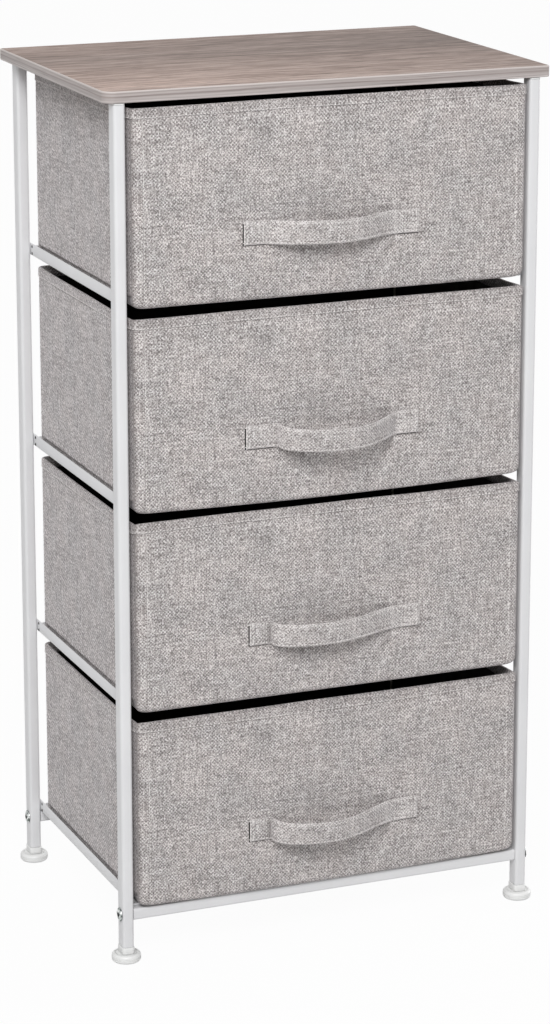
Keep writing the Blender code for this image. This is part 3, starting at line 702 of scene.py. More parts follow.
# %% Metal and plastic materials
ZINC_GRAIN = 2500.0
REFLECTION_PATCHES_PER_METRE = 340.0
ZINC_STOPS = [(0.40, (0.09, 0.11, 0.10)), (0.50, (0.50, 0.53, 0.52)), (0.62, (0.86, 0.87, 0.86))]
RECESS_SHADE_COLOR = (0.012, 0.014, 0.013)
ZINC_ROUGHNESS = (0.2, 0.38)


def coated_material(name, dark, pale, grain_per_metre, rough, relief):
    """A pale sprayed or moulded skin with a faint ripple."""
    material, tree, shader = new_material(name, rough[0])
    coat = use_group(tree, skin, Place=place_of(tree, "Object"), Grain=grain_per_metre)
    feed(tree, shader.inputs["Base Color"], two_tone(tree, coat["Tint"], dark, pale))
    feed(tree, shader.inputs["Roughness"], between(tree, coat["Gloss"], *NOISE_RANGE, *rough))
    add_bump(tree, shader, coat["Ripple"], relief)
    return material


powder_coat = coated_material(
    "white_powder_coat",
    dark=(0.695, 0.695, 0.707),
    pale=(0.735, 0.735, 0.745),
    grain_per_metre=900.0,
    rough=(0.34, 0.44),
    relief=0.05 * MM,
)
white_plastic = coated_material(
    "white_plastic",
    dark=(0.76, 0.765, 0.76),
    pale=(0.82, 0.82, 0.812),
    grain_per_metre=1500.0,
    rough=(0.40, 0.52),
    relief=0.03 * MM,
)
zinc, tree, shader = new_material("zinc_plate", roughness=0.28, metallic=1.0)
plate = use_group(tree, skin, Place=place_of(tree, "Object"), Grain=ZINC_GRAIN)
# Painted reflections: dark and bright patches in the plating's colour
reflection_patches = noise(tree, place_of(tree, "Object"), REFLECTION_PATCHES_PER_METRE)
zinc_color = ramp(tree, reflection_patches, ZINC_STOPS)
# Painted shade: the sunk places stored on the mesh go nearly black
zinc_color = blend_colors(tree, stored_value(tree, "recess"), zinc_color, RECESS_SHADE_COLOR)
feed(tree, shader.inputs["Base Color"], zinc_color)
feed(tree, shader.inputs["Roughness"], between(tree, plate["Gloss"], *NOISE_RANGE, *ZINC_ROUGHNESS))
add_bump(tree, shader, plate["Ripple"], distance=0.02 * MM)
print("hard materials:", powder_coat.name, white_plastic.name, zinc.name)

# %% [markdown]
# Most pieces are lofts: closed rings of points joined by quads, with a UV map that measures metres
# along the ring and up the profile. Modelling by hand would do as well, but a loft takes its sizes
# straight from the solids, and one function makes nearly every piece. The smaller helpers after it
# clean a mesh, shade it or give a sheet its thickness.

# %% Loft helpers
WELD_DISTANCE = 0.001 * MM


def loft(name, rings, run, climb, cap_first=False, cap_last=False):
    """A mesh from rings of points, shape (levels, count, 3). run and climb are the UV in metres."""
    levels, count = rings.shape[:2]
    faces = []
    layout = []
    for level in range(levels - 1):
        for index in range(count):
            following = (index + 1) % count
            here, above = level * count, (level + 1) * count
            faces.append((here + index, here + following, above + following, above + index))
            left, right = run[index], run[index + 1]
            low, high = climb[level], climb[level + 1]
            layout += [(left, low), (right, low), (right, high), (left, high)]
    for wanted, level, backwards in ((cap_first, 0, True), (cap_last, levels - 1, False)):
        if wanted:
            cap = [level * count + index for index in range(count)]
            cap = cap[::-1] if backwards else cap
            faces.append(cap)
            layout += [tuple(rings.reshape(-1, 3)[corner][:2]) for corner in cap]
    mesh = bpy.data.meshes.new(name)
    mesh.from_pydata(rings.reshape(-1, 3).tolist(), [], faces)
    uv_map = mesh.uv_layers.new(name="metres")
    uv_map.data.foreach_set("uv", np.array(layout, np.float32).ravel())
    mesh.shade_smooth()
    piece = bpy.data.objects.new(name, mesh)
    bpy.context.scene.collection.objects.link(piece)
    return piece


def capped_loft(name, rings, run, climb):
    """A loft that is closed by a face at each end."""
    return loft(name, rings, run, climb, cap_first=True, cap_last=True)


def face_outwards(piece, join_within=None):
    """Turn the faces of a closed mesh outwards; points closer than a distance are joined first."""
    shape = bmesh.new()
    shape.from_mesh(piece.data)
    if join_within is not None:
        bmesh.ops.remove_doubles(shape, verts=shape.verts, dist=join_within)
    bmesh.ops.recalc_face_normals(shape, faces=shape.faces)
    shape.to_mesh(piece.data)
    shape.free()


def weld(piece):
    """Join points that coincide, and turn the faces outwards."""
    face_outwards(piece, WELD_DISTANCE)


def keep_edges_crisp(piece, degrees=40):
    """Shade smooth but for edges sharper than an angle."""
    piece.data.set_sharp_from_angle(angle=math.radians(degrees))


def thicken(piece, thickness):
    """Give a sheet its thickness, away from the side that its faces show."""
    wall = piece.modifiers.new("thickness", "SOLIDIFY")
    wall.thickness = thickness
    wall.offset = -1
    wall.use_even_offset = True


def settle(piece):
    """Apply a piece's modifiers, so that it is a plain mesh."""
    evaluated = piece.evaluated_get(bpy.context.evaluated_depsgraph_get())
    mesh = bpy.data.meshes.new_from_object(evaluated)
    piece.modifiers.clear()
    piece.data = mesh


print("loft helpers are ready")

# %% [markdown]
# Every piece ends in the same way: it gets its material, its body to ride on, its slot in the
# record and the solid that it stands for. Some solids are good enough as they are, and are only
# given a finish. A value stored at the points of a mesh tells its material what differs from place
# to place; it is simpler than painting a mask.

# %% Finish helpers


def store_values(piece, name, values):
    """Store a value at each point of a mesh, for its material to read."""
    stored = piece.data.attributes.new(name, "FLOAT", "POINT")
    stored.data.foreach_set("value", np.asarray(values, np.float32).ravel())


def finish_piece(piece, material, body, slot, *stands_for):
    """Material, body, record slot and the solids that a piece replaces."""
    piece.data.materials.clear()
    piece.data.materials.append(material)
    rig.ride(piece, body)
    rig.slot(piece, slot)
    if stands_for:
        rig.replaces(piece, *stands_for)
    return piece


def paint_node(name, material):
    """Give a carried-over solid its finish."""
    nodes[name].data.materials.clear()
    nodes[name].data.materials.append(material)


print("solids that can be finished:", len(nodes))

# %% [markdown]
# The shapes below share a few sums: a soft rise from 0 to 1, which is how cloth goes from one form
# into another, the outline of a box with round corners, and distances along a path for UV maps.

# %% Outline helpers


def smoothstep(low, high, value):
    """0 below low, 1 above high, and a soft rise between them."""
    share = np.clip((np.asarray(value, float) - low) / (high - low), 0.0, 1.0)
    return share * share * (3 - 2 * share)


def round_box_ring(low, high, radius, corner_steps, straight_x=None, straight_y=None):
    """Points round a rectangle with round corners, anticlockwise from above, starting at the
    rear left. Each is an anchor and an outward direction, to stand `radius - inset` off."""
    inner_low = np.array(low) + radius
    inner_high = np.array(high) - radius
    along_x = np.array([inner_low[0], inner_high[0]]) if straight_x is None else straight_x
    along_y = np.array([inner_low[1], inner_high[1]]) if straight_y is None else straight_y
    anchors = []
    outward = []

    def straight(points, direction):
        anchors.extend(points)
        outward.extend([direction] * len(points))

    def corner(anchor, start):
        for step_number in range(1, corner_steps):
            angle = start + math.pi / 2 * step_number / corner_steps
            anchors.append(anchor)
            outward.append((math.cos(angle), math.sin(angle)))

    straight([(inner_low[0], y) for y in along_y[::-1]], (-1.0, 0.0))
    corner((inner_low[0], inner_low[1]), math.pi)
    straight([(x, inner_low[1]) for x in along_x], (0.0, -1.0))
    corner((inner_high[0], inner_low[1]), 1.5 * math.pi)
    straight([(inner_high[0], y) for y in along_y], (1.0, 0.0))
    corner((inner_high[0], inner_high[1]), 0.0)
    straight([(x, inner_high[1]) for x in along_x[::-1]], (0.0, 1.0))
    corner((inner_low[0], inner_high[1]), 0.5 * math.pi)
    return np.array(anchors), np.array(outward)


def distance_along(path):
    """Distance along a path, from its first point."""
    return np.concatenate([[0.0], np.cumsum(np.linalg.norm(np.diff(path, axis=0), axis=1))])


def run_along(points):
    """Distance along a closed ring, with one more value for the return to its start."""
    steps = np.linalg.norm(np.roll(points, -1, axis=0) - points, axis=1)
    return np.concatenate([[0.0], np.cumsum(steps)])


print("outline helpers are ready")

# %% [markdown]
# The top is a thin printed board with a band ironed round its edge. Its front left corner is plainly
# round, and the other three are nearly square. The solids have both pieces with plain edges. A bevel
# modifier could soften them, but drawing one outline in by small insets keeps each corner's own
# radius, and gives the band the round arrises that catch the light as a pale line.

# %% Tabletop board and edge band
TOP_FRONT_LEFT_RADIUS = 12 * MM
TOP_RADIUS = 3 * MM
BAND_THICKNESS = 1.2 * MM
ARRIS = 0.9 * MM
TOP_CORNER_STEPS = 14
ARRIS_STEPS = 4
BAND_SHADOW_GAP = 0.3 * MM
BOARD_EASE = 0.25 * MM


def top_ring(inset, height):
    """The top's outline drawn in by an inset, at a height: anticlockwise from the rear right."""
    points = []
    sides = [(1, 1), (-1, 1), (-1, -1), (1, -1)]
    for quarter, (side_x, side_y) in enumerate(sides):
        radius = TOP_FRONT_LEFT_RADIUS if side_x + side_y < 0 else TOP_RADIUS
        center_x = top_high.x - radius if side_x > 0 else top_low.x + radius
        center_y = top_high.y - radius if side_y > 0 else top_low.y + radius
        for turn in np.linspace(quarter, quarter + 1, TOP_CORNER_STEPS + 1) * math.pi / 2:
            reach = radius - inset
            points.append((center_x + reach * math.cos(turn), center_y + reach * math.sin(turn), height))
    return np.array(points)


board_inset = BAND_THICKNESS + BAND_SHADOW_GAP
board_profile = [
    (board_inset + BOARD_EASE, top_low.z),
    (board_inset, top_low.z + BOARD_EASE),
    (board_inset, top_high.z - BOARD_EASE),
    (board_inset + BOARD_EASE, top_high.z),
]
rings = np.array([top_ring(*level) for level in board_profile])
board_climb = [height - top_low.z for inset, height in board_profile]
tabletop = capped_loft("tabletop", rings, run_along(rings[0]), board_climb)
keep_edges_crisp(tabletop)
finish_piece(tabletop, laminate, "frame", "laminate", "top_panel")

upper_arris = []
for turn in np.linspace(0, math.pi / 2, ARRIS_STEPS + 1):
    upper_arris.append((ARRIS * (1 - math.cos(turn)), top_high.z - ARRIS * (1 - math.sin(turn))))
lower_arris = [(inset, top_low.z + top_high.z - height) for inset, height in upper_arris[::-1]]
band_inside = [(BAND_THICKNESS, top_high.z), (BAND_THICKNESS, top_low.z)]
band_profile = lower_arris + upper_arris + band_inside + lower_arris[:1]
rings = np.array([top_ring(*level) for level in band_profile])
band_climb = [height - top_high.z for inset, height in band_profile]
edge_band = loft("tabletop_band", rings, run_along(rings[0]), band_climb)
weld(edge_band)
keep_edges_crisp(edge_band, degrees=50)
finish_piece(edge_band, band_wood, "frame", "edge_band", "edge_band")
print("tabletop and band:", len(tabletop.data.polygons) + len(edge_band.data.polygons), "faces")

# %% [markdown]
# Posts and crossbars are drawn steel tubes. A bevelled box would look much the same, but its ends
# would be closed. A loft along the tube has a finer corner than the solid's, for the soft light edge
# between two faces, and leaves the bore open, as the real one is under its plugs.

# %% Steel tubes
TUBE_WALL = 1.0 * MM
POST_RADIUS = 3.0 * MM
BAR_RADIUS = 2.0 * MM
TUBE_CORNER_STEPS = 8
TUBE_LIP = 0.25 * MM


def steel_tube(name, node, axis, radius):
    """A tube that fills a solid's box, along Z or X, open at both ends."""
    low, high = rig.box(node)
    across_axes = (0, 1) if axis == 2 else (1, 2)
    flat_low = [low[i] for i in across_axes]
    flat_high = [high[i] for i in across_axes]
    anchors, outward = round_box_ring(flat_low, flat_high, radius, TUBE_CORNER_STEPS)
    start, end = low[axis], high[axis]
    profile = [
        (TUBE_WALL, start),
        (TUBE_LIP, start),
        (0.0, start + TUBE_LIP),
        (0.0, end - TUBE_LIP),
        (TUBE_LIP, end),
        (TUBE_WALL, end),
        (TUBE_WALL, start),
    ]
    rings = []
    for inset, place in profile:
        flat = anchors + outward * (radius - inset)
        ring = np.zeros((len(flat), 3))
        ring[:, across_axes[0]], ring[:, across_axes[1]] = flat[:, 0], flat[:, 1]
        ring[:, axis] = place
        rings.append(ring)
    rings = np.array(rings)
    tube = loft(name, rings, run_along(rings[2]), distance_along(np.array(profile)))
    weld(tube)
    keep_edges_crisp(tube)
    return finish_piece(tube, powder_coat, "frame", "powder_coat", node)


for corner_name in CORNERS:
    steel_tube("tube_" + corner_name, "post_" + corner_name, 2, POST_RADIUS)
for end_name in ("front", "rear"):
    steel_tube("bar_" + end_name, "crossbar_" + end_name, 0, BAR_RADIUS)
print("tubes:", len(CORNERS) + 2)

# %% [markdown]
# The rails that the drawers slide on are bent from thin sheet. A bevelled curve would do for a plain
# angle, but a loft of an L-shaped section also lets the ledge change on its way: all but the lowest
# pair have it cut back behind the front post. The bend and the eased upper edge show as bright
# lines, and a tab near the rear is turned up to stop the drawer.

# %% Angle rails
RAIL_SHEET = 1.2 * MM
RAIL_BEND = 1.0 * MM
RAIL_HEIGHT = 12.5 * MM
RAIL_EASE = 0.4 * MM
BEND_STEPS = 5
LEDGE_SETBACK = 30.0 * MM
LEDGE_CUT = 6.0 * MM
STOP_HEIGHT = 10.0 * MM
STOP_SETBACK = 6.0 * MM


def rail_section(height, ledge):
    """(inward, up) round an L: down the outside to the ledge's tip, and back up the inside."""
    corner = RAIL_SHEET + RAIL_BEND
    turns = np.linspace(math.pi, 1.5 * math.pi, BEND_STEPS + 1)

    def bend(radius):
        return [(corner + radius * math.cos(turn), corner + radius * math.sin(turn)) for turn in turns]

    tip = [(ledge, 0.0), (ledge, RAIL_SHEET)]
    edge = [(RAIL_SHEET, height - RAIL_EASE), (RAIL_SHEET - RAIL_EASE, height)]
    edge += [(RAIL_EASE, height), (0.0, height - RAIL_EASE)]
    return np.array(bend(corner) + tip + bend(RAIL_BEND)[::-1] + edge)


def add_block(piece, low, high):
    """Add a plain block to a piece's mesh."""
    low, high = Vector(low), Vector(high)
    shape = bmesh.new()
    shape.from_mesh(piece.data)
    corners = bmesh.ops.create_cube(shape, size=1.0)["verts"]
    bmesh.ops.scale(shape, vec=high - low, verts=corners)
    bmesh.ops.translate(shape, vec=(low + high) / 2, verts=corners)
    shape.to_mesh(piece.data)
    shape.free()


def angle_rail(side_name, number):
    """One rail, in the place of its solid."""
    node = f"rail_{side_name}_{number}"
    low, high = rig.box(node)
    outer, inward = (low.x, 1.0) if side_name == "left" else (high.x, -1.0)
    ledge = high.x - low.x
    no_ledge = RAIL_SHEET + 2 * RAIL_BEND
    if number == DRAWERS[-1]:
        stations = [(low.y, ledge), (high.y, ledge)]
    else:
        stations = [(low.y, no_ledge), (low.y + LEDGE_SETBACK, no_ledge)]
        stations += [(low.y + LEDGE_SETBACK + LEDGE_CUT, ledge), (high.y, ledge)]
    rings = []
    for y, reach in stations:
        section = rail_section(RAIL_HEIGHT, reach)
        rings.append(np.column_stack([
            outer + inward * section[:, 0], np.full(len(section), y), low.z + section[:, 1]
        ]))
    rings = np.array(rings)
    climb = [y - low.y for y, reach in stations]
    rail = capped_loft(node.replace("rail", "angle"), rings, run_along(rings[-1]), climb)
    stop_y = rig.box(f"post_rear_{side_name}")[0].y - STOP_SETBACK
    stop_x = sorted([outer + inward * no_ledge, outer + inward * ledge])
    add_block(
        rail,
        (stop_x[0], stop_y, low.z + RAIL_SHEET / 2),
        (stop_x[1], stop_y + RAIL_SHEET, low.z + RAIL_SHEET + STOP_HEIGHT),
    )
    weld(rail)
    keep_edges_crisp(rail, degrees=50)
    return finish_piece(rail, powder_coat, "frame", "powder_coat", node)


for side_name in ("left", "right"):
    for number in DRAWERS:
        angle_rail(side_name, number)
print("angle rails:", 2 * len(DRAWERS))

# %% [markdown]
# The feet are turned plastic pads on a stud, with two mould lines round the side and a groove round
# the upper face. A Screw modifier could sweep such a profile; sweeping it in code keeps the UV map
# in metres.

# %% Turned pads
TURN_STEPS = 64
PAD_HEIGHT = 8.5 * MM
PAD_EDGE = 3.0 * MM
PAD_EDGE_STEPS = 6
PAD_RING_HEIGHTS = (4.9 * MM, 3.6 * MM)
PAD_RING_HALF_WIDTH = 0.35 * MM
PAD_RING_DEPTH = 0.5 * MM
PAD_GROOVE_RADIUS = 10.6 * MM
PAD_GROOVE_HALF_WIDTH = 0.5 * MM
PAD_GROOVE_DEPTH = 0.9 * MM
STUD_RADIUS = 2.25 * MM


def pad_profile(widest, top):
    """(radius, height) down a foot: the stud, the grooved top, the round edges and the side."""
    flat_end = widest - PAD_EDGE
    groove_in = PAD_GROOVE_RADIUS - PAD_GROOVE_HALF_WIDTH
    groove_out = PAD_GROOVE_RADIUS + PAD_GROOVE_HALF_WIDTH
    groove_floor = PAD_HEIGHT - PAD_GROOVE_DEPTH
    upper = []
    for turn in np.linspace(0, math.pi / 2, PAD_EDGE_STEPS + 1):
        upper.append((flat_end + PAD_EDGE * math.sin(turn), PAD_HEIGHT - PAD_EDGE * (1 - math.cos(turn))))
    lower = [(radius, PAD_HEIGHT - height) for radius, height in upper[::-1]]
    rings = []
    for middle in PAD_RING_HEIGHTS:
        rings.append((widest, middle + PAD_RING_HALF_WIDTH))
        rings.append((widest - PAD_RING_DEPTH, middle))
        rings.append((widest, middle - PAD_RING_HALF_WIDTH))
    stud = [(STUD_RADIUS, top), (STUD_RADIUS, PAD_HEIGHT)]
    groove = [(groove_in, PAD_HEIGHT), (groove_in, groove_floor), (groove_out, groove_floor)]
    return stud + groove + [(groove_out, PAD_HEIGHT)] + upper + rings + lower


def turned_piece(name, center, profile):
    """A turned solid from (radius, height) pairs, top to bottom."""
    angles = np.arange(TURN_STEPS) * 2 * math.pi / TURN_STEPS
    circle = np.column_stack([np.cos(angles), np.sin(angles), np.zeros(TURN_STEPS)])
    middle = np.array([center[0], center[1], 0.0])
    rings = np.array([middle + circle * radius + (0.0, 0.0, height) for radius, height in profile[::-1]])
    heights = [height for radius, height in profile[::-1]]
    widest = max(radius for radius, height in profile)
    run = np.arange(TURN_STEPS + 1) * 2 * math.pi * widest / TURN_STEPS
    piece = capped_loft(name, rings, run, heights)
    keep_edges_crisp(piece, degrees=35)
    return piece


print("a pad is", round(PAD_HEIGHT / MM, 1), "mm high, with", len(PAD_RING_HEIGHTS), "mould lines")

# %% [markdown]
# The collar that caps the tube above a foot is rectangular with round corners, and bored for the
# stud. A loft may change its outline from ring to ring, so the bore needs no boolean cut. Each foot
# is a body of its own, since it turns on its stud; the collars stay with the frame.

# %% Feet and collars
COLLAR_HEIGHT = 6.5 * MM
COLLAR_RADIUS = 3.7 * MM
COLLAR_ARRIS = 0.5 * MM
ARRIS_MIDDLE = 0.3 * COLLAR_ARRIS
PEG_INSET = 1.9 * MM
PLUG_BORE_RADIUS = 2.4 * MM


def collar_piece(name, low, high):
    """A rectangular collar with round corners and a peg that goes up the tube, bored for the stud."""
    collar_top = low.z + COLLAR_HEIGHT
    anchors, outward = round_box_ring(low[:2], high[:2], COLLAR_RADIUS, TUBE_CORNER_STEPS)
    middle = np.array([(low.x + high.x) / 2, (low.y + high.y) / 2])
    around = anchors + outward * COLLAR_RADIUS - middle
    bore = middle + around / np.linalg.norm(around, axis=1)[:, None] * PLUG_BORE_RADIUS
    profile = [
        (COLLAR_ARRIS, low.z),
        (ARRIS_MIDDLE, low.z + ARRIS_MIDDLE),
        (0.0, low.z + COLLAR_ARRIS),
        (0.0, collar_top - COLLAR_ARRIS),
        (ARRIS_MIDDLE, collar_top - ARRIS_MIDDLE),
        (COLLAR_ARRIS, collar_top),
        (PEG_INSET, collar_top),
        (PEG_INSET, high.z),
    ]

    def level(flat, height):
        return np.column_stack([flat, np.full(len(flat), height)])

    rings = [level(anchors + outward * (COLLAR_RADIUS - inset), height) for inset, height in profile]
    rings = np.array([level(bore, low.z)] + rings + [level(bore, high.z), level(bore, low.z)])
    climb = np.arange(len(rings)) * MM
    collar = loft(name, rings, run_along(rings[3]), climb)
    weld(collar)
    keep_edges_crisp(collar, degrees=50)
    return collar


for corner_name in CORNERS:
    foot_node, plug_node = "foot_" + corner_name, "foot_plug_" + corner_name
    low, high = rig.box(foot_node)
    foot = turned_piece("pad_" + corner_name, (low + high) / 2, pad_profile((high.x - low.x) / 2, high.z))
    finish_piece(foot, white_plastic, foot_node, "white_plastic", foot_node)
    collar = collar_piece("collar_" + corner_name, *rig.box(plug_node))
    finish_piece(collar, white_plastic, "frame", "white_plastic", plug_node)
    for node_name, finish in (("top_plug_", white_plastic), ("top_screw_", zinc), ("crossbar_nut_", zinc)):
        paint_node(node_name + corner_name, finish)
print("feet and collars:", 2 * len(CORNERS))

# %% [markdown]
# Hundreds of stitches would be tedious to place one by one, so Geometry Nodes set them along rows.
# The tree turns each row of edges into a curve, cuts it at an even pitch, and stands one small bead
# on each cut, with its length along the row and its back to the cloth. The rows carry an `out`
# vector, so that beads on the side panels turn with them, and each bead is turned a little by chance.

# %% Stitch tree
STITCH_SIDES = 6
STITCH_RINGS = 4
BEAD_RADIUS = 0.5


def facing_out(tree, rotation=None):
    """A rotation whose Z lies along the rows' `out`; a rotation given is only rolled about its X."""
    inputs = [("Name", "out")]
    outward = add_node(tree, "GeometryNodeInputNamedAttribute", inputs, data_type="FLOAT_VECTOR")
    inputs = [("Vector", outward.outputs["Attribute"])]
    pivot = "AUTO"
    if rotation is not None:
        inputs.append(("Rotation", rotation))
        pivot = "X"
    kind = "FunctionNodeAlignRotationToVector"
    return add_node(tree, kind, inputs, axis="Z", pivot_axis=pivot).outputs[0]


def turned_by_chance(tree, rotation, least, most, seed):
    """A rotation turned about its own Z by a random angle."""
    chance = add_node(tree, "FunctionNodeRandomValue", [("Seed", seed)], data_type="FLOAT")
    limits = [socket for socket in chance.inputs if socket.type == "VALUE"]
    feed(tree, limits[0], least)
    feed(tree, limits[1], most)
    angle = next(socket for socket in chance.outputs if socket.type == "VALUE")
    turn = add_node(tree, "FunctionNodeAxisAngleToRotation", [("Axis", (0, 0, 1)), ("Angle", angle)])
    inputs = [("Rotation", rotation), ("Rotate By", turn.outputs[0])]
    return add_node(tree, "FunctionNodeRotateRotation", inputs, rotation_space="LOCAL").outputs[0]


def build_stitch_tree():
    """Stitches along rows of edges."""
    numbers = [(label, "NodeSocketFloat") for label in ("Pitch", "Length", "Thickness", "Wander")]
    others = [("Seed", "NodeSocketInt"), ("Thread", "NodeSocketMaterial")]
    tree, given, out = new_group(
        "stitch_rows",
        [("Rows", "NodeSocketGeometry"), *numbers, *others],
        [("Stitches", "NodeSocketGeometry")],
        "GeometryNodeTree",
    )
    curve = add_node(tree, "GeometryNodeMeshToCurve", [(0, given["Rows"])])
    inputs = [("Curve", curve.outputs[0]), ("Length", given["Pitch"])]
    cut = add_node(tree, "GeometryNodeResampleCurve", inputs, mode="LENGTH")
    inputs = [("Segments", STITCH_SIDES), ("Rings", STITCH_RINGS), ("Radius", BEAD_RADIUS)]
    bead = add_node(tree, "GeometryNodeMeshUVSphere", inputs)
    tangent = add_node(tree, "GeometryNodeInputTangent")
    inputs = [("Vector", tangent.outputs[0])]
    along = add_node(tree, "FunctionNodeAlignRotationToVector", inputs, axis="X")
    facing = facing_out(tree, along.outputs[0])
    wander_back = calc(tree, "MULTIPLY", given["Wander"], -1.0)
    rotation = turned_by_chance(tree, facing, wander_back, given["Wander"], given["Seed"])
    size = vector_of(tree, given["Length"], given["Thickness"], given["Thickness"])
    inputs = [("Points", cut.outputs[0]), ("Instance", bead.outputs["Mesh"])]
    inputs += [("Rotation", rotation), ("Scale", size)]
    stand = add_node(tree, "GeometryNodeInstanceOnPoints", inputs)
    solid = add_node(tree, "GeometryNodeRealizeInstances", [(0, stand.outputs[0])])
    smooth = add_node(tree, "GeometryNodeSetShadeSmooth", [("Geometry", solid.outputs[0])])
    inputs = [("Geometry", smooth.outputs[0]), ("Material", given["Thread"])]
    painted = add_node(tree, "GeometryNodeSetMaterial", inputs)
    feed(tree, out["Stitches"], painted.outputs[0])
    return tree


stitch_tree = build_stitch_tree()
print("stitch tree:", len(stitch_tree.nodes), "nodes")

# %% [markdown]
# A tree needs something to run on. This helper makes a guide object from rows of points, each with
# the way that it faces, runs a tree on it as a modifier, keeps the mesh that comes out and removes
# the guide. What is left is a plain mesh, which rides on a body like any other piece.

# %% Sew rows


def socket_id(tree, label):
    """The identifier of a tree's input, by its name."""
    return next(item.identifier for item in tree.interface.items_tree if item.name == label)


def grow(name, tree, rows, settings):
    """Run a tree on rows of (points, outward vectors) and return its mesh as a plain object."""
    points = [point for row, outs in rows for point in row]
    outs = [vector for row, vectors in rows for vector in vectors]
    edges = []
    start = 0
    for row, vectors in rows:
        edges += [(start + i, start + i + 1) for i in range(len(row) - 1)]
        start += len(row)
    guide_mesh = bpy.data.meshes.new(name + "_rows")
    guide_mesh.from_pydata([tuple(p) for p in points], edges, [])
    attribute = guide_mesh.attributes.new("out", "FLOAT_VECTOR", "POINT")
    attribute.data.foreach_set("vector", np.array(outs, np.float32).ravel())
    guide = bpy.data.objects.new(name + "_rows", guide_mesh)
    bpy.context.scene.collection.objects.link(guide)
    modifier = guide.modifiers.new("grow", "NODES")
    modifier.node_group = tree
    for label, value in settings.items():
        modifier[socket_id(tree, label)] = value
    evaluated = guide.evaluated_get(bpy.context.evaluated_depsgraph_get())
    mesh = bpy.data.meshes.new_from_object(evaluated)
    bpy.data.objects.remove(guide)
    piece = bpy.data.objects.new(name, mesh)
    bpy.context.scene.collection.objects.link(piece)
    return piece


print("rows can be grown by", stitch_tree.name)

# %% [markdown]
# A drawer is a cloth box over card, and its cloth is not quite flat: the bottom edge of the front
# sags between its corners, the panels swell, the hem stands proud of the wall with its sewing line
# drawn in, and the sides are tucked in where they pass the rails. All of that is a few millimetres
# at most, less than a cloth simulation settles reliably, so it is set by listed measures.

# %% Drawer measures
SIDE_WALL = 3.0 * MM
FRONT_WALL = 6.8 * MM
COVER_EASE = 1.5 * MM
UPRIGHT_RADIUS = 8.0 * MM
BOTTOM_RADIUS = 7.0 * MM
CLOTH_THICKNESS = 0.8 * MM
PANEL_STEP = 7.0 * MM
CORNER_STEPS = 8
# The front wall grows to its full thickness round the corner and over a short ramp beside it
WALL_TURN = (0.3, 1.0)
WALL_CLEAR = 0.4 * MM
WALL_RAMP = np.array([0.6, 1.2]) * MM
# A panel is flat where its outward direction is nearly that of an axis
FLAT = 0.999

RIM_RISE = 1.5 * MM
HEM_DEPTH = 12.0 * MM
HEM_LINE = 9.6 * MM
HEM_PROUD = 0.6 * MM
HEM_STEP = (0.2 * MM, 0.4 * MM)
HEM_DRAW = 0.2 * MM
DRAW_BELOW, DRAW_WIDTH = 0.7 * MM, 0.8 * MM
SEAM_INSET = 10.0 * MM
SEAM_PROUD = 0.55 * MM
SEAM_WIDTH = 0.75 * MM
SEAM_FADE = 4 * MM
SEAM_FINE = np.array([-1.6, -0.8, -0.4, 0.0, 0.4, 0.8, 1.6]) * MM

CORNER_LIFT = 2.0 * MM
CORNER_REACH = 15.0 * MM
SAG_REACH = 70 * MM
FOOT_REACH = 30 * MM
FRONT_BLEND = (2 * MM, 6 * MM)
RIM_BLEND = 40 * MM
SIDE_RIM_DROP = 1.8 * MM
SIDE_RIM_BLEND = (4 * MM, 45 * MM)
SIDE_BLEND = (6 * MM, 1 * MM)
SIDE_SWELL = 0.3 * MM
RAIL_SLIT = 1.6 * MM
RAIL_TUCK = 2.0 * MM
TUCK_SIDE = (9 * MM, 3 * MM)
TUCK_BLEND = 0.6 * MM
TUCK_ENDS = (0.5 * UPRIGHT_RADIUS, 1.5 * UPRIGHT_RADIUS)

# Slow ripples, as radians to a metre in two directions. The heights of the front's and the rim's
# are in millimetres, as the hang below is.
RIPPLE, RIPPLE_HEIGHT = (31, 17), 0.22
SLANT_RIPPLE, SLANT_SHARE = (57, 23), 0.6
RIM_WAVE, RIM_WAVE_HEIGHT = (43, 37), 0.15
SIDE_WAVE, SIDE_WAVE_HEIGHT = (41, 29), 0.15 * MM

# How each drawer's front hangs, in millimetres but for the phase of its ripple: the sag of its
# bottom edge, its swell, and how its rim lies: raised in the middle, tilted up to the right, lifted
HANG = {
    1: dict(sag=0.8, swell=0.7, rim=1.5, tilt=0.0, lift=0.0, phase=0.4),
    2: dict(sag=3.3, swell=0.9, rim=0.4, tilt=1.2, lift=0.6, phase=1.9),
    3: dict(sag=0.2, swell=0.6, rim=0.3, tilt=0.0, lift=1.5, phase=3.3),
    4: dict(sag=2.5, swell=0.8, rim=-2.5, tilt=1.0, lift=1.3, phase=5.1),
}
print("sag of the fronts:", [hang["sag"] for hang in HANG.values()], "mm")

# %% [markdown]
# The cover, the lining, the tapes and the stitches all have to lie on one shape, so a class holds it.
# First comes the box before it hangs: its outline seen from above, how thick the wall is there, and
# how far hem and seams stand proud.

# %% Drawer outline


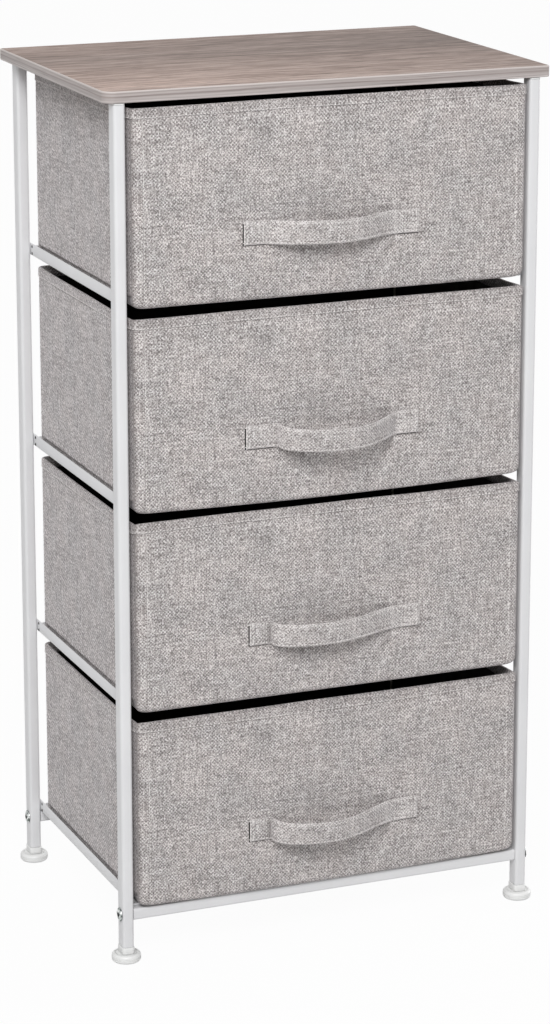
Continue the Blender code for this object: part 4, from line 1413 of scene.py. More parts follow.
class DrawerOutline:
    """The sewn box of one drawer, in the drawer's own measures."""

    def __init__(self, number):
        self.low, self.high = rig.box(f"drawer_{number}_shell")
        self.half = (self.high.x - self.low.x) / 2 - COVER_EASE
        rail_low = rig.box(f"rail_left_{number}")[0]
        self.tuck_top = rail_low.z + RAIL_HEIGHT + RAIL_SLIT - self.low.z
        self.depth = self.high.y - self.low.y
        self.height = self.high.z - self.low.z
        self.hang = HANG[number]
        seam = self.half - SEAM_INSET
        reach = self.half - UPRIGHT_RADIUS
        count = int(round(2 * reach / PANEL_STEP))
        stations = [np.linspace(-reach, reach, count + 1), seam + SEAM_FINE, -seam - SEAM_FINE]
        stations += [reach - WALL_RAMP, WALL_RAMP - reach]
        straight_x = np.unique(np.concatenate(stations).round(6))
        straight_x = straight_x[np.abs(straight_x) <= reach + 1e-9]
        deep = self.depth - UPRIGHT_RADIUS
        count = int(round((deep - UPRIGHT_RADIUS) / PANEL_STEP))
        straight_y = np.linspace(UPRIGHT_RADIUS, deep, count + 1)
        box = ((-self.half, 0.0), (self.half, self.depth))
        self.anchors, self.outward = round_box_ring(
            *box, UPRIGHT_RADIUS, CORNER_STEPS, straight_x, straight_y
        )
        self.wall = self.wall_thickness(self.anchors, self.outward)

    def wall_thickness(self, anchors, outward):
        """Thin at the sides and rear, thick along the front, where the board is."""
        thickest_turn = UPRIGHT_RADIUS - WALL_CLEAR - SIDE_WALL
        turning = SIDE_WALL + thickest_turn * smoothstep(*WALL_TURN, -outward[:, 1])
        reach = self.half - UPRIGHT_RADIUS
        inside = smoothstep(0.0, WALL_RAMP[-1], reach - np.abs(anchors[:, 0]))
        on_front = outward[:, 1] < -FLAT
        return turning + np.where(on_front, (FRONT_WALL - turning) * inside, 0.0)

    def hem_and_seam(self, anchors, outward, height):
        """How far the outside stands proud: the hem, its drawn-in foot and the two upright seams."""
        below_rim = self.height - height
        hem = HEM_PROUD * smoothstep(HEM_LINE + HEM_STEP[0], HEM_LINE - HEM_STEP[1], below_rim)
        drawn = HEM_DRAW * np.exp(-(((below_rim - HEM_LINE - DRAW_BELOW) / DRAW_WIDTH) ** 2))
        from_seam = (np.abs(anchors[:, 0]) - (self.half - SEAM_INSET)) / SEAM_WIDTH
        seam = SEAM_PROUD * np.exp(-(from_seam ** 2)) * (outward[:, 1] < -FLAT)
        seam = seam * smoothstep(HEM_LINE, HEM_LINE + SEAM_FADE, below_rim)
        return hem - drawn + seam


print("cloth walls:", round(SIDE_WALL / MM, 1), "mm, at the front", round(FRONT_WALL / MM, 1), "mm")

# %% [markdown]
# Then the cloth hangs. A second class adds how any point of the box moves, and hands out rings and
# points that have moved already, so that every piece hangs in the same way.

# %% Drawer shape


class DrawerCloth(DrawerOutline):
    """The box of one drawer as its cloth hangs."""

    def ease(self, points):
        """Let the cloth hang: sag, swell and a slow ripple. Points are in the drawer's measures."""
        x, y, z = points[:, 0], points[:, 1], points[:, 2]
        across = 1 - (x / self.half) ** 2
        upward = np.sin(math.pi * np.clip(z / self.height, 0, 1))
        near_front = 1 - smoothstep(*FRONT_BLEND, y)
        phase = self.hang["phase"]
        ripple = np.sin(x * RIPPLE[0] + phase) * np.sin(z * RIPPLE[1] + 2 * phase)
        ripple = ripple + SLANT_SHARE * np.sin(x * SLANT_RIPPLE[0] - z * SLANT_RIPPLE[1] + phase)
        moved = points.copy()
        moved[:, 1] -= near_front * upward * (self.hang["swell"] * across + RIPPLE_HEIGHT * ripple) * MM
        low_share = np.clip(1 - z / SAG_REACH, 0, 1) ** 2
        moved[:, 2] -= near_front * across * low_share * self.hang["sag"] * MM
        foot_share = np.clip(1 - z / FOOT_REACH, 0, 1) ** 2
        at_corner = smoothstep(self.half - CORNER_REACH, self.half, np.abs(x))
        corner_front = 1 - smoothstep(0.0, CORNER_REACH, y)
        moved[:, 2] += CORNER_LIFT * foot_share * at_corner * corner_front
        rim_share = smoothstep(self.height - RIM_BLEND, self.height, z)
        rim_shape = self.hang["rim"] * across + self.hang["tilt"] * x / (2 * self.half) + self.hang["lift"]
        rim_wave = RIM_WAVE_HEIGHT * np.sin(x * RIM_WAVE[0] + y * RIM_WAVE[1] + phase)
        moved[:, 2] += rim_share * (near_front * rim_shape - rim_wave) * MM
        moved[:, 2] -= rim_share * smoothstep(*SIDE_RIM_BLEND, y) * SIDE_RIM_DROP
        side = smoothstep(self.half - SIDE_BLEND[0], self.half - SIDE_BLEND[1], np.abs(x)) * np.sign(x)
        along = np.sin(math.pi * np.clip(y / self.depth, 0, 1))
        side_swell = SIDE_SWELL + SIDE_WAVE_HEIGHT * np.sin(y * SIDE_WAVE[0] + z * SIDE_WAVE[1] + phase)
        moved[:, 0] += side * along * upward * side_swell
        moved[:, 0] -= np.sign(x) * RAIL_TUCK * self.tuck_share(x, y, z)
        return moved

    def tuck_share(self, x, y, z):
        """Where the sides are drawn in, so that they clear the rails: 0 to 1."""
        at_side = smoothstep(self.half - TUCK_SIDE[0], self.half - TUCK_SIDE[1], np.abs(x))
        from_front = smoothstep(*TUCK_ENDS, y)
        from_rear = smoothstep(*TUCK_ENDS, self.depth - y)
        below = 1 - smoothstep(self.tuck_top - TUCK_BLEND, self.tuck_top, z)
        return at_side * from_front * from_rear * below

    def place(self, points):
        """From the drawer's own measures to the shared frame."""
        return points + np.array([0.0, self.low.y, self.low.z])

    def ring(self, inset, height):
        """One ring of the loft: insets may differ round the ring."""
        flat = self.anchors + self.outward * (UPRIGHT_RADIUS - inset)[:, None]
        return self.ease(np.column_stack([flat, np.full(len(flat), height)]))

    def on_outside(self, anchors, outward, heights, lift):
        """Points on the outside of the cloth, raised by a lift, with their outward vectors."""
        anchors, outward, heights = np.array(anchors), np.array(outward), np.array(heights)
        proud = self.hem_and_seam(anchors, outward, heights)
        flat = anchors + outward * (UPRIGHT_RADIUS + proud + lift)[:, None]
        points = self.place(self.ease(np.column_stack([flat, heights])))
        return points, np.column_stack([outward, np.zeros(len(outward))])


cloths = {number: DrawerCloth(number) for number in DRAWERS}
print("points round a drawer:", len(cloths[1].anchors))

# %% [markdown]
# The cover is one continuous sheet: up from the floor, round a soft bottom fold, up the wall, over
# the rim and a little way down inside, as a hem is turned. Sewn panels would be truer to the real
# one, but a single loft has no gaps, and the seams are raised on it. Rings lie close together where
# the hem, the tuck and the rim need them. Last it stores where shade is painted into its colour.

# %% Drawer covers
BOTTOM_STEPS = 7
FLOOR_CLEAR = 0.3 * MM
PLAIN_TOP = 18 * MM
RIM_STEPS = 8
HEM_INSIDE = (4 * MM, 8 * MM, HEM_DEPTH)
# A ring on the plain wall: its length sets the UV map of them all
WALL_RING = 10
HEM_FINE = np.array([14, 11.8, 11, 10.4, 10, 9.75, 9.6, 9.45, 9.2, 8.6, 6, 4, 2.6]) * MM
TUCK_FINE = np.array([-1.4, -0.6, -0.4, -0.2, 0.0, 0.8]) * MM
# Painted shade on the covers: strong round the left front corner, faint at the right, and below the rim
LEFT_CORNER_SHADE = 0.9
RIGHT_CORNER_SHADE = 0.2
CORNER_TURN = (0.4, 0.9)
CORNER_SHADE_DEPTH = (10 * MM, 24 * MM)
COVER_RIM_SHADE = 0.35
RIM_REACH = 14.0 * MM


def climb_along(rings):
    """Distance from ring to ring, measured at their first points."""
    return distance_along(rings[:, 0])


def drawer_cover(number):
    """The outer cloth, from the floor over the rim to the inside of the hem."""
    cloth = cloths[number]
    levels = []
    none = np.zeros(len(cloth.anchors))
    for step_number in range(BOTTOM_STEPS):
        angle = math.pi / 2 * step_number / BOTTOM_STEPS
        inset = np.minimum(BOTTOM_RADIUS * (1 - math.sin(angle)), UPRIGHT_RADIUS - FLOOR_CLEAR)
        levels.append((none + inset, BOTTOM_RADIUS * (1 - math.cos(angle))))
    plain = np.arange(BOTTOM_RADIUS, cloth.height - PLAIN_TOP, PANEL_STEP)
    plain = np.sort(np.concatenate([plain, cloth.tuck_top + TUCK_FINE]))
    for height in np.concatenate([plain, cloth.height - HEM_FINE]):
        heights = np.full(len(none), height)
        levels.append((-cloth.hem_and_seam(cloth.anchors, cloth.outward, heights), height))
    for step_number in range(RIM_STEPS + 1):
        angle = math.pi * step_number / RIM_STEPS
        inset = -HEM_PROUD + (cloth.wall + HEM_PROUD) / 2 * (1 - math.cos(angle))
        levels.append((inset, cloth.height - RIM_RISE + RIM_RISE * math.sin(angle)))
    for depth in HEM_INSIDE:
        levels.append((cloth.wall, cloth.height - depth))
    rings = np.array([cloth.place(cloth.ring(inset, height)) for inset, height in levels])
    run = run_along(rings[WALL_RING])
    cover = loft(f"drawer_{number}_cover", rings, run, climb_along(rings), cap_first=True)
    # Painted shade, stored at the points: round the front corners, most at the left, and below the rim
    turned = np.abs(cloth.outward[:, 0])
    strength = np.where(cloth.anchors[:, 0] < 0, LEFT_CORNER_SHADE, RIGHT_CORNER_SHADE)
    near_front = 1 - smoothstep(*CORNER_SHADE_DEPTH, cloth.anchors[:, 1])
    fold = strength * smoothstep(*CORNER_TURN, turned) * near_front
    below_rim = np.array([cloth.height - height for inset, height in levels])
    rim = COVER_RIM_SHADE * smoothstep(RIM_REACH, 0.0, below_rim)
    store_values(cover, "handled", np.maximum(fold[None, :], rim[:, None]))
    store_values(cover, "side_panel", np.tile(turned > CORNER_TURN[1], len(levels)))
    thicken(cover, CLOTH_THICKNESS)
    settle(cover)
    return finish_piece(cover, linen, f"drawer_{number}", "linen", f"drawer_{number}_shell")


covers = {number: drawer_cover(number) for number in DRAWERS}
print("cover faces:", [len(cover.data.polygons) for cover in covers.values()])

# %% [markdown]
# Inside, a drawer is lined with black felt, which shows when it is open. The lining starts behind
# the turned hem, runs down the walls in front of the stiff board, and closes over the floor under
# the loose bottom board. It is a loft on the same shape as the cover, so the two can't cross. Each
# side has an upright fold, where the box folds flat, and two pale tapes hold the rear corners.

# %% Linings and boards
LINING_THICKNESS = 0.3 * MM
LINING_FLOOR = 2.4 * MM
LINING_RADIUS = 2.5 * MM
LINING_LAP = 0.6 * MM
# How far the lining laps behind the hem, and how far below the rim
BEHIND_HEM = [(0.7 * MM, 8.0 * MM), (0.55 * MM, 12.4 * MM), (0.0 * MM, 15.0 * MM)]
LINING_TOP = BEHIND_HEM[0][1]
LINING_FROM = 24 * MM
LINING_STEP = 12 * MM
FOLD_DEPTH = 0.9 * MM
FOLD_WIDTH = 2.2 * MM
TAPE_WIDTH = 2.4 * MM
TAPE_THICKNESS = 0.25 * MM
TAPE_FROM_CORNER = 12.0 * MM
TAPE_TOP = 13 * MM
TAPE_FOOT = LINING_FLOOR + 5 * MM
TAPE_SINK = 0.1 * MM
TAPE_LEVELS = 20


def lining_inset(cloth):
    """The lining lies just over the wall, with an upright fold halfway along each side."""
    from_fold = (cloth.anchors[:, 1] - cloth.depth / 2) / FOLD_WIDTH
    fold = FOLD_DEPTH * np.exp(-(from_fold ** 2)) * (np.abs(cloth.outward[:, 0]) > FLAT)
    return cloth.wall - LINING_LAP + fold


def drawer_lining(number):
    """The black inside of a drawer."""
    cloth = cloths[number]
    inset = lining_inset(cloth)
    rings = [cloth.ring(inset - lap, cloth.height - depth) for lap, depth in BEHIND_HEM]
    heights = np.arange(cloth.height - LINING_FROM, LINING_FLOOR + LINING_RADIUS, -LINING_STEP)
    heights = np.concatenate([heights, cloth.tuck_top + TUCK_FINE])
    for height in np.sort(heights)[::-1]:
        rings.append(cloth.ring(inset, height))
    rings.append(cloth.ring(inset, LINING_FLOOR))
    rings = np.array([cloth.place(ring) for ring in rings])
    run = run_along(rings[len(BEHIND_HEM)])
    lining = loft(f"drawer_{number}_lining", rings, run, climb_along(rings), cap_last=True)
    keep_edges_crisp(lining, degrees=50)
    thicken(lining, LINING_THICKNESS)
    settle(lining)
    return finish_piece(lining, lining_cloth, f"drawer_{number}", "board")


def corner_tapes(number):
    """Two pale tapes sewn down the rear wall, which hold the corner seams."""
    cloth = cloths[number]
    heights = np.linspace(cloth.height - TAPE_TOP, TAPE_FOOT, TAPE_LEVELS)
    rear = cloth.depth - SIDE_WALL + TAPE_SINK
    face = rear - TAPE_THICKNESS
    pair = []
    for side_name, side in (("left", -1), ("right", 1)):
        middle = side * (cloth.half - TAPE_FROM_CORNER)
        left, right = middle - TAPE_WIDTH / 2, middle + TAPE_WIDTH / 2
        outline = np.array([(left, face), (right, face), (right, rear), (left, rear)])
        levels = [np.column_stack([outline, np.full(4, height)]) for height in heights[::-1]]
        rings = np.array([cloth.place(cloth.ease(level)) for level in levels])
        name = f"drawer_{number}_tape_{side_name}"
        tape = capped_loft(name, rings, run_along(rings[0]), climb_along(rings))
        keep_edges_crisp(tape, degrees=50)
        pair.append(finish_piece(tape, pale_tape, f"drawer_{number}", "linen"))
    return pair


linings = {number: drawer_lining(number) for number in DRAWERS}
tapes = {number: corner_tapes(number) for number in DRAWERS}
for number in DRAWERS:
    for board_name in ("front_board", "bottom_board"):
        paint_node(f"drawer_{number}_{board_name}", wrapped_board)
print("linings:", len(linings), "and tapes:", sum(len(pair) for pair in tapes.values()))

# %% [markdown]
# The handle is a strap of the same cloth, folded flat and sewn to the front by a square tab at
# each end. Between the tabs it has slack: it leaves the left tab in a sharp fold, bows out, droops
# a little under its own weight, and comes back to the right tab at a low angle. A cloth simulation
# would find some such curve, but not these four, so each strap has a few measures of its own.

# %% Strap measures
STRAP_WIDTH = 23.0 * MM
STRAP_THICKNESS = 2.4 * MM
STRAP_GAP = 0.3 * MM
STRAP_STEP = 0.8 * MM
FINE_STEP = 0.25 * MM
LOOP_POINTS = 400
FOLD_ROUND = 1.1 * MM
END_ROUND = 1.2 * MM
END_STEPS = np.array([0.08, 0.25, 0.5, 0.9]) * MM
BLUNT_END = 0.97

# How each strap hangs, in millimetres but for the two ends' fullness: how far it bows and where,
# its droop, the lean of its upper edge, the fullness to its left and right, its place, its sewn tabs
STRAP_HANG = {
    1: dict(bow=19, peak=4, droop=1, lean=3, left=0.80, right=1.90, shift=-2.5, rise=-0.5, tabs=(25, 24)),
    2: dict(bow=30.5, peak=3, droop=3, lean=5, left=0.43, right=1.12, shift=-1, rise=0.2, tabs=(33, 25)),
    3: dict(bow=20.5, peak=-12, droop=1.5, lean=3, left=0.36, right=1.75, shift=2.5, rise=1.8, tabs=(23, 22)),
    4: dict(bow=27.5, peak=-13, droop=2, lean=4, left=0.42, right=1.95, shift=2.5, rise=-1.3, tabs=(23, 21)),
}
print("straps bow out by", [hang["bow"] for hang in STRAP_HANG.values()], "mm")

# %% [markdown]
# A formula turns those measures into a path. A curve could be drawn by hand for each strap, but this
# one keeps to the solid's width, and a bell-shaped average takes the kink out of the fold.

# %% Strap path


def even_steps(path, step, near_ends=()):
    """The same path with points an even step apart, and a few more near its ends."""
    gone = distance_along(path)
    even = np.linspace(0, gone[-1], int(round(gone[-1] / step)) + 1)
    near_ends = np.array(near_ends)
    places = np.unique(np.concatenate([even, near_ends, gone[-1] - near_ends]).round(7))
    return np.column_stack([np.interp(places, gone, values) for values in path.T])


def soften(path, reach):
    """Round the corners of an evenly stepped path by a bell-shaped average."""
    offsets = np.arange(-round(3 * reach), round(3 * reach) + 1)
    bell = np.exp(-0.5 * (offsets / reach) ** 2)
    padded = np.pad(path, ((len(offsets) // 2, len(offsets) // 2), (0, 0)), mode="edge")
    return np.column_stack([np.convolve(values, bell / bell.sum(), mode="valid") for values in padded.T])


def unit(vectors):
    """Vectors at length one."""
    return vectors / np.linalg.norm(vectors, axis=1)[:, None]


class Strap:
    """The path and section of one strap."""

    def __init__(self, number):
        self.cloth = cloths[number]
        self.hang = STRAP_HANG[number]
        low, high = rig.box(f"drawer_{number}_handle")
        height = high.z - STRAP_WIDTH / 2 - self.cloth.low.z + self.hang["rise"] * MM
        x, share = self.loop((high.x - low.x) / 2).T
        x = x + self.hang["shift"] * MM
        self.height = height
        self.ends = (x[0], x[-1])
        share = share / (self.hang["bow"] * MM)
        front = self.cloth.ease(np.column_stack([x, np.zeros(len(x)), np.full(len(x), height)]))[:, 1]
        y = front - STRAP_GAP - STRAP_THICKNESS / 2 - self.hang["bow"] * MM * share
        z = height - self.hang["droop"] * MM * share
        self.middle = np.column_stack([x, y, z])
        lean = self.hang["lean"] * MM * share / STRAP_WIDTH
        self.upward = unit(np.column_stack([np.zeros(len(x)), -lean, np.ones(len(x))]))
        self.normal = unit(np.cross(np.gradient(self.middle, axis=0), self.upward))
        self.run = distance_along(self.middle)
        self.from_end = np.minimum(self.run, self.run[-1] - self.run)
        self.plump = np.sqrt(1 - np.clip(1 - self.from_end / END_ROUND, 0, BLUNT_END) ** 2)

    def loop(self, half):
        """Places across the front and how far the strap stands off it there."""
        left_tab, right_tab = (tab * MM for tab in self.hang["tabs"])
        start, end, peak = left_tab - half, half - right_tab, self.hang["peak"] * MM
        share = -np.cos(np.linspace(0, math.pi, LOOP_POINTS))
        span = np.where(share < 0, peak - start, end - peak)
        fullness = np.where(share < 0, self.hang["left"], self.hang["right"])
        bow = self.hang["bow"] * MM * np.clip(1 - share ** 2, 0, 1) ** fullness
        loop = np.column_stack([peak + share * span, bow])
        path = even_steps(np.vstack([[(-half, 0.0)], loop, [(half, 0.0)]]), FINE_STEP)
        return even_steps(soften(path, FOLD_ROUND / FINE_STEP), STRAP_STEP, END_STEPS)

    def at(self, across, lift):
        """Points along the strap, `across` its width from the middle, `lift` off its middle plane."""
        raised = self.normal * (lift * self.plump)[:, None]
        return self.cloth.place(self.middle + self.upward * across + raised)


straps = {number: Strap(number) for number in DRAWERS}
print("strap lengths:", [round(strap.run[-1] / MM) for strap in straps.values()], "mm")

# %% [markdown]
# The strap's section is a flat pad with round edges and two sewn furrows, carried along the path. A
# bevelled curve could carry it too, but it would twist in the fold. Each point stores how much painted
# light or shade it gets: a painted highlight along the edges, most on the lower one, painted shade on
# the left tab where the strap folds back over it, and the darkest painted shade under the ends.

# %% Strap handles
STRAP_SEAM = 2.2 * MM
STRAP_FURROW = 0.3 * MM
FURROW_WIDTH = 0.4 * MM
FURROW_FINE = np.array([-0.7, -0.35, 0.0, 0.35, 0.7]) * MM
EDGE_FINE = np.array([1.0, 0.55, 0.15]) * MM
FLAT_PLACES = np.array([-4.0, 0.0, 4.0]) * MM
SQUARENESS = 14
# How far the painted highlight reaches in from the edges and ends, and its share on the upper edge
EDGE_REACH = 1.6 * MM
EDGE_FULL = 0.3 * EDGE_REACH
UPPER_EDGE_SHARE = 0.4
# How much the left tab of each strap is shaded, how far from the fold, and how softly it starts
CREASE_SHADE = {1: 0.12, 2: 0.18, 3: 0.6, 4: 0.6}
CREASE_REACH = 12.0 * MM
CREASE_FULL = 0.4 * CREASE_REACH
CREASE_SOFT = 0.5 * MM


def strap_section():
    """(across, lift) round the strap's section: a flat pad with round edges and sewn furrows."""
    half = STRAP_WIDTH / 2
    thick = STRAP_THICKNESS / 2
    furrow = half - STRAP_SEAM
    lower_half = [-half + EDGE_FINE[::-1], -furrow + FURROW_FINE]
    upper_half = [furrow + FURROW_FINE, half - EDGE_FINE]
    front = np.concatenate([*lower_half, FLAT_PLACES, *upper_half])
    lift = thick * np.sqrt(np.clip(1 - (np.abs(front) / half) ** SQUARENESS, 0, 1))
    drawn = np.exp(-(((np.abs(front) - furrow) / FURROW_WIDTH) ** 2))
    outer = [(a, b - STRAP_FURROW * d) for a, b, d in zip(front, lift, drawn)]
    inner_side = [(a, -b) for a, b in zip(front[::-1], lift[::-1])]
    return np.array([(-half, 0.0)] + outer + [(half, 0.0)] + inner_side)


handles = {}
section = strap_section()
from_edge = STRAP_WIDTH / 2 - np.abs(section[:, 0])
edge_shares = 1 - smoothstep(EDGE_FULL, EDGE_REACH, from_edge)
edge_shares = np.where(section[:, 0] > 0, UPPER_EDGE_SHARE, 1.0) * edge_shares
for number in DRAWERS:
    strap = straps[number]
    rings = np.stack([strap.at(across, lift) for across, lift in section], axis=1)
    handle = capped_loft(f"drawer_{number}_strap", rings, run_along(section), strap.run)
    # Painted highlight along edges and ends; painted shade on the left tab's crease and, darkest, under the ends
    end_shares = 1 - smoothstep(EDGE_FULL, EDGE_REACH, strap.from_end)
    shares = np.maximum(edge_shares[None, :], end_shares[:, None])
    to_fold = strap.hang["tabs"][0] * MM - strap.run
    crease = smoothstep(CREASE_REACH, CREASE_FULL, to_fold)
    crease = crease * smoothstep(-CREASE_SOFT, CREASE_SOFT, to_fold)
    shares -= CREASE_SHADE[number] * crease[:, None] * (section[:, 1] > 0)[None, :]
    under_end = (strap.from_end < END_ROUND)[:, None] & (section[:, 1] <= 0)[None, :]
    shares[under_end] = -1.0
    store_values(handle, "fold_edge", shares)
    face_outwards(handle)
    keep_edges_crisp(handle, degrees=60)
    handles[number] = handle
    finish_piece(handle, strap_cloth, f"drawer_{number}", "strap", f"drawer_{number}_handle")
print("strap faces:", [len(handle.data.polygons) for handle in handles.values()])

# %% [markdown]
# Behind each tab lies a strip of near-black felt, whose lower and left edges show as a thin dark
# line: it is painted shade, standing in for the shadow in the crevice under the tab's edges. As a
# real piece it also throws its own small shadow.

# %% Tab shadow strips
SHADOW_STRIP_LEVELS = 9
SHADOW_STRIP_THICKNESS = 0.5 * MM
SHADOW_STRIP_SHOWS_BELOW = 0.8 * MM
SHADOW_STRIP_SHOWS_LEFT = 0.7 * MM
SHADOW_STRIP_TUCK = 3.0 * MM


def tab_shadow_strip(number, side, start, end):
    """A strip of near-black felt behind a tab, painted shade that shows as a dark line along its lower edge."""
    strap = straps[number]
    low = strap.height - STRAP_WIDTH / 2 - SHADOW_STRIP_SHOWS_BELOW
    high = strap.height + STRAP_WIDTH / 2 - SHADOW_STRIP_TUCK
    half = SHADOW_STRIP_THICKNESS / 2
    outline = [(half, low), (-half, low), (-half, high), (half, high)]
    rings = []
    for x in np.linspace(start, end, SHADOW_STRIP_LEVELS):
        points = np.array([(x, y, z) for y, z in outline])
        rings.append(strap.cloth.place(strap.cloth.ease(points)))
    rings = np.array(rings)
    name = f"drawer_{number}_backing_{side}"
    shadow_strip = capped_loft(name, rings, run_along(rings[0]), climb_along(rings))
    face_outwards(shadow_strip)
    keep_edges_crisp(shadow_strip, degrees=50)
    return finish_piece(shadow_strip, tab_felt, f"drawer_{number}", "board")


# Painted shade: a near-black strip behind each tab, for the shadow under its lower and left edges
shadow_strips = {}
for number in DRAWERS:
    left_end, right_end = straps[number].ends
    left_tab, right_tab = (tab * MM for tab in straps[number].hang["tabs"])
    shadow_strips[number] = [
        tab_shadow_strip(number, "left", left_end - SHADOW_STRIP_SHOWS_LEFT, left_end + left_tab - SHADOW_STRIP_TUCK),
        tab_shadow_strip(number, "right", right_end - right_tab + SHADOW_STRIP_TUCK, right_end),
    ]
print("tab backings:", 2 * len(shadow_strips))

# %% [markdown]
# Now the sewing. Each drawer has a hem line all round, two upright seams on its front, a line along
# each edge of the strap and two across each tab. A texture of stitches would look flat in low light.
# The rows are worked out on the finished cloth, so the thread lies in the furrows made for it.

# %% Stitches
STITCH_PITCH = 3.6 * MM
STITCH_LENGTH = 2.7 * MM
STITCH_THICKNESS = 0.8 * MM
STITCH_WANDER = math.radians(7)
HEM_STITCH_RISE = 1.2 * MM
SEAM_TOP = 13 * MM
SEAM_FOOT = 9 * MM
SEAM_STITCH_INSET = 1.6 * MM
TAB_STITCH_INSET = 3.0 * MM
# How far the middle of the thread lies off the cloth
LINE_LIFT = 0.12 * MM
SEAM_LIFT = 0.1 * MM
TAB_LIFT = 0.05 * MM
SEAM_POINTS = 30
TAB_POINTS = 8


def hem_rows(cloth):
    """The sewing line round the hem, a little above its lower edge."""
    heights = np.full(len(cloth.anchors), cloth.height - HEM_LINE + HEM_STITCH_RISE)
    return [cloth.on_outside(cloth.anchors, cloth.outward, heights, LINE_LIFT)]


def seam_rows(cloth):
    """The two upright seams on the front, just inside its corners."""
    rows = []
    heights = np.linspace(SEAM_FOOT, cloth.height - SEAM_TOP, SEAM_POINTS)
    for side in (-1, 1):
        anchor = (side * (cloth.half - SEAM_INSET - SEAM_STITCH_INSET), UPRIGHT_RADIUS)
        forwards = [(0.0, -1.0)] * SEAM_POINTS
        rows.append(cloth.on_outside([anchor] * SEAM_POINTS, forwards, heights, SEAM_LIFT))
    return rows


def strap_rows(strap):
    """Lines along both edges of the strap, and across its tabs."""
    rows = []
    lift = STRAP_THICKNESS / 2 - STRAP_FURROW + LINE_LIFT
    furrow = STRAP_WIDTH / 2 - STRAP_SEAM
    for side in (-1, 1):
        rows.append((strap.at(side * furrow, lift), strap.normal))
    left_tab, right_tab = (tab * MM for tab in strap.hang["tabs"])
    length = strap.run[-1]
    left_lines = (TAB_STITCH_INSET, left_tab - 2 * TAB_STITCH_INSET)
    right_lines = (length - right_tab + 2 * TAB_STITCH_INSET, length - TAB_STITCH_INSET)
    crossing_places = np.linspace(-furrow, furrow, TAB_POINTS)
    for place in left_lines + right_lines:
        station = int(np.argmin(np.abs(strap.run - place)))
        tab_face = STRAP_THICKNESS / 2 + TAB_LIFT
        points = [strap.at(across, tab_face)[station] for across in crossing_places]
        rows.append((points, [strap.normal[station]] * TAB_POINTS))
    return rows


for number in DRAWERS:
    rows = hem_rows(cloths[number]) + seam_rows(cloths[number]) + strap_rows(straps[number])
    settings = {
        "Pitch": STITCH_PITCH,
        "Length": STITCH_LENGTH,
        "Thickness": STITCH_THICKNESS,
        "Wander": STITCH_WANDER,
        "Seed": number,
        "Thread": thread,
    }
    stitches = grow(f"drawer_{number}_stitches", stitch_tree, rows, settings)
    finish_piece(stitches, thread, f"drawer_{number}", "strap")
    print("drawer", number, "stitch faces", len(stitches.data.polygons))

# %% [markdown]
# Four button-head bolts hold the crossbars. They are alike, so one head is modelled as a pattern, a
# low dome with a six-sided socket. A boolean could cut the socket, but as the last rings of a loft
# it has cleaner faces. The socket and the rim store how much painted shade they get.

# %% Bolt head
BOLT_HEAD_RADIUS = 6.7 * MM
BOLT_HEAD_HEIGHT = 2.2 * MM
BOLT_RIM = 0.4 * MM
SOCKET_HALF_WIDTH = 2.4 * MM
SOCKET_DEPTH = 1.8 * MM
HEAD_STEPS = 36
DOME_STEPS = 8
BOLT_RIM_SHADE = 0.7
RIM_INSET, RIM_FOOT = 0.3 * MM, 0.25 * MM
SOCKET_LIP = 0.05 * MM
UV_STEP = 0.4 * MM


def bolt_head():
    """One head along +Z, with a six-sided socket sunk in its dome."""
    rings = []
    angles = np.arange(HEAD_STEPS) * 2 * math.pi / HEAD_STEPS
    circle = np.column_stack([np.cos(angles), np.sin(angles)])
    hexagon = circle * (math.cos(math.pi / 6) / np.cos((angles % (math.pi / 3)) - math.pi / 6))[:, None]
    socket = SOCKET_HALF_WIDTH / math.cos(math.pi / 6)

    def ring(outline, radius, height):
        rings.append(np.column_stack([outline * radius, np.full(HEAD_STEPS, height)]))

    ring(circle, BOLT_HEAD_RADIUS - RIM_INSET, 0.0)
    ring(circle, BOLT_HEAD_RADIUS, RIM_FOOT)
    ring(circle, BOLT_HEAD_RADIUS, BOLT_RIM)
    for step_number in range(1, DOME_STEPS + 1):
        angle = math.pi / 2 * step_number / (DOME_STEPS + 2)
        height = BOLT_RIM + (BOLT_HEAD_HEIGHT - BOLT_RIM) * math.sin(angle)
        ring(circle, BOLT_HEAD_RADIUS * math.cos(angle), height)
    ring(hexagon, socket, BOLT_HEAD_HEIGHT - SOCKET_LIP)
    ring(hexagon, socket, BOLT_HEAD_HEIGHT - SOCKET_DEPTH)
    rings = np.array(rings)
    run = np.arange(HEAD_STEPS + 1) * 2 * math.pi * BOLT_HEAD_RADIUS / HEAD_STEPS
    climb = np.arange(len(rings)) * UV_STEP
    head = capped_loft("bolt_head_pattern", rings, run, climb)
    keep_edges_crisp(head, degrees=35)
    # Painted shade in the socket and under the rim
    shares = np.zeros((len(rings), HEAD_STEPS))
    shares[:2] = BOLT_RIM_SHADE
    shares[-2:] = 1.0
    store_values(head, "recess", shares)
    return head


pattern_head = bolt_head()
print("a bolt head has", len(pattern_head.data.polygons), "faces")

# %% [markdown]
# A second tree instances the pattern on four points and turns it to face out of each post, each by
# its own angle, as a hex key leaves them. Four copies could be placed by hand, but the same tree
# sets the rivets too.

# %% Bolts on their posts
HEAD_STAND_OFF = 0.2 * MM


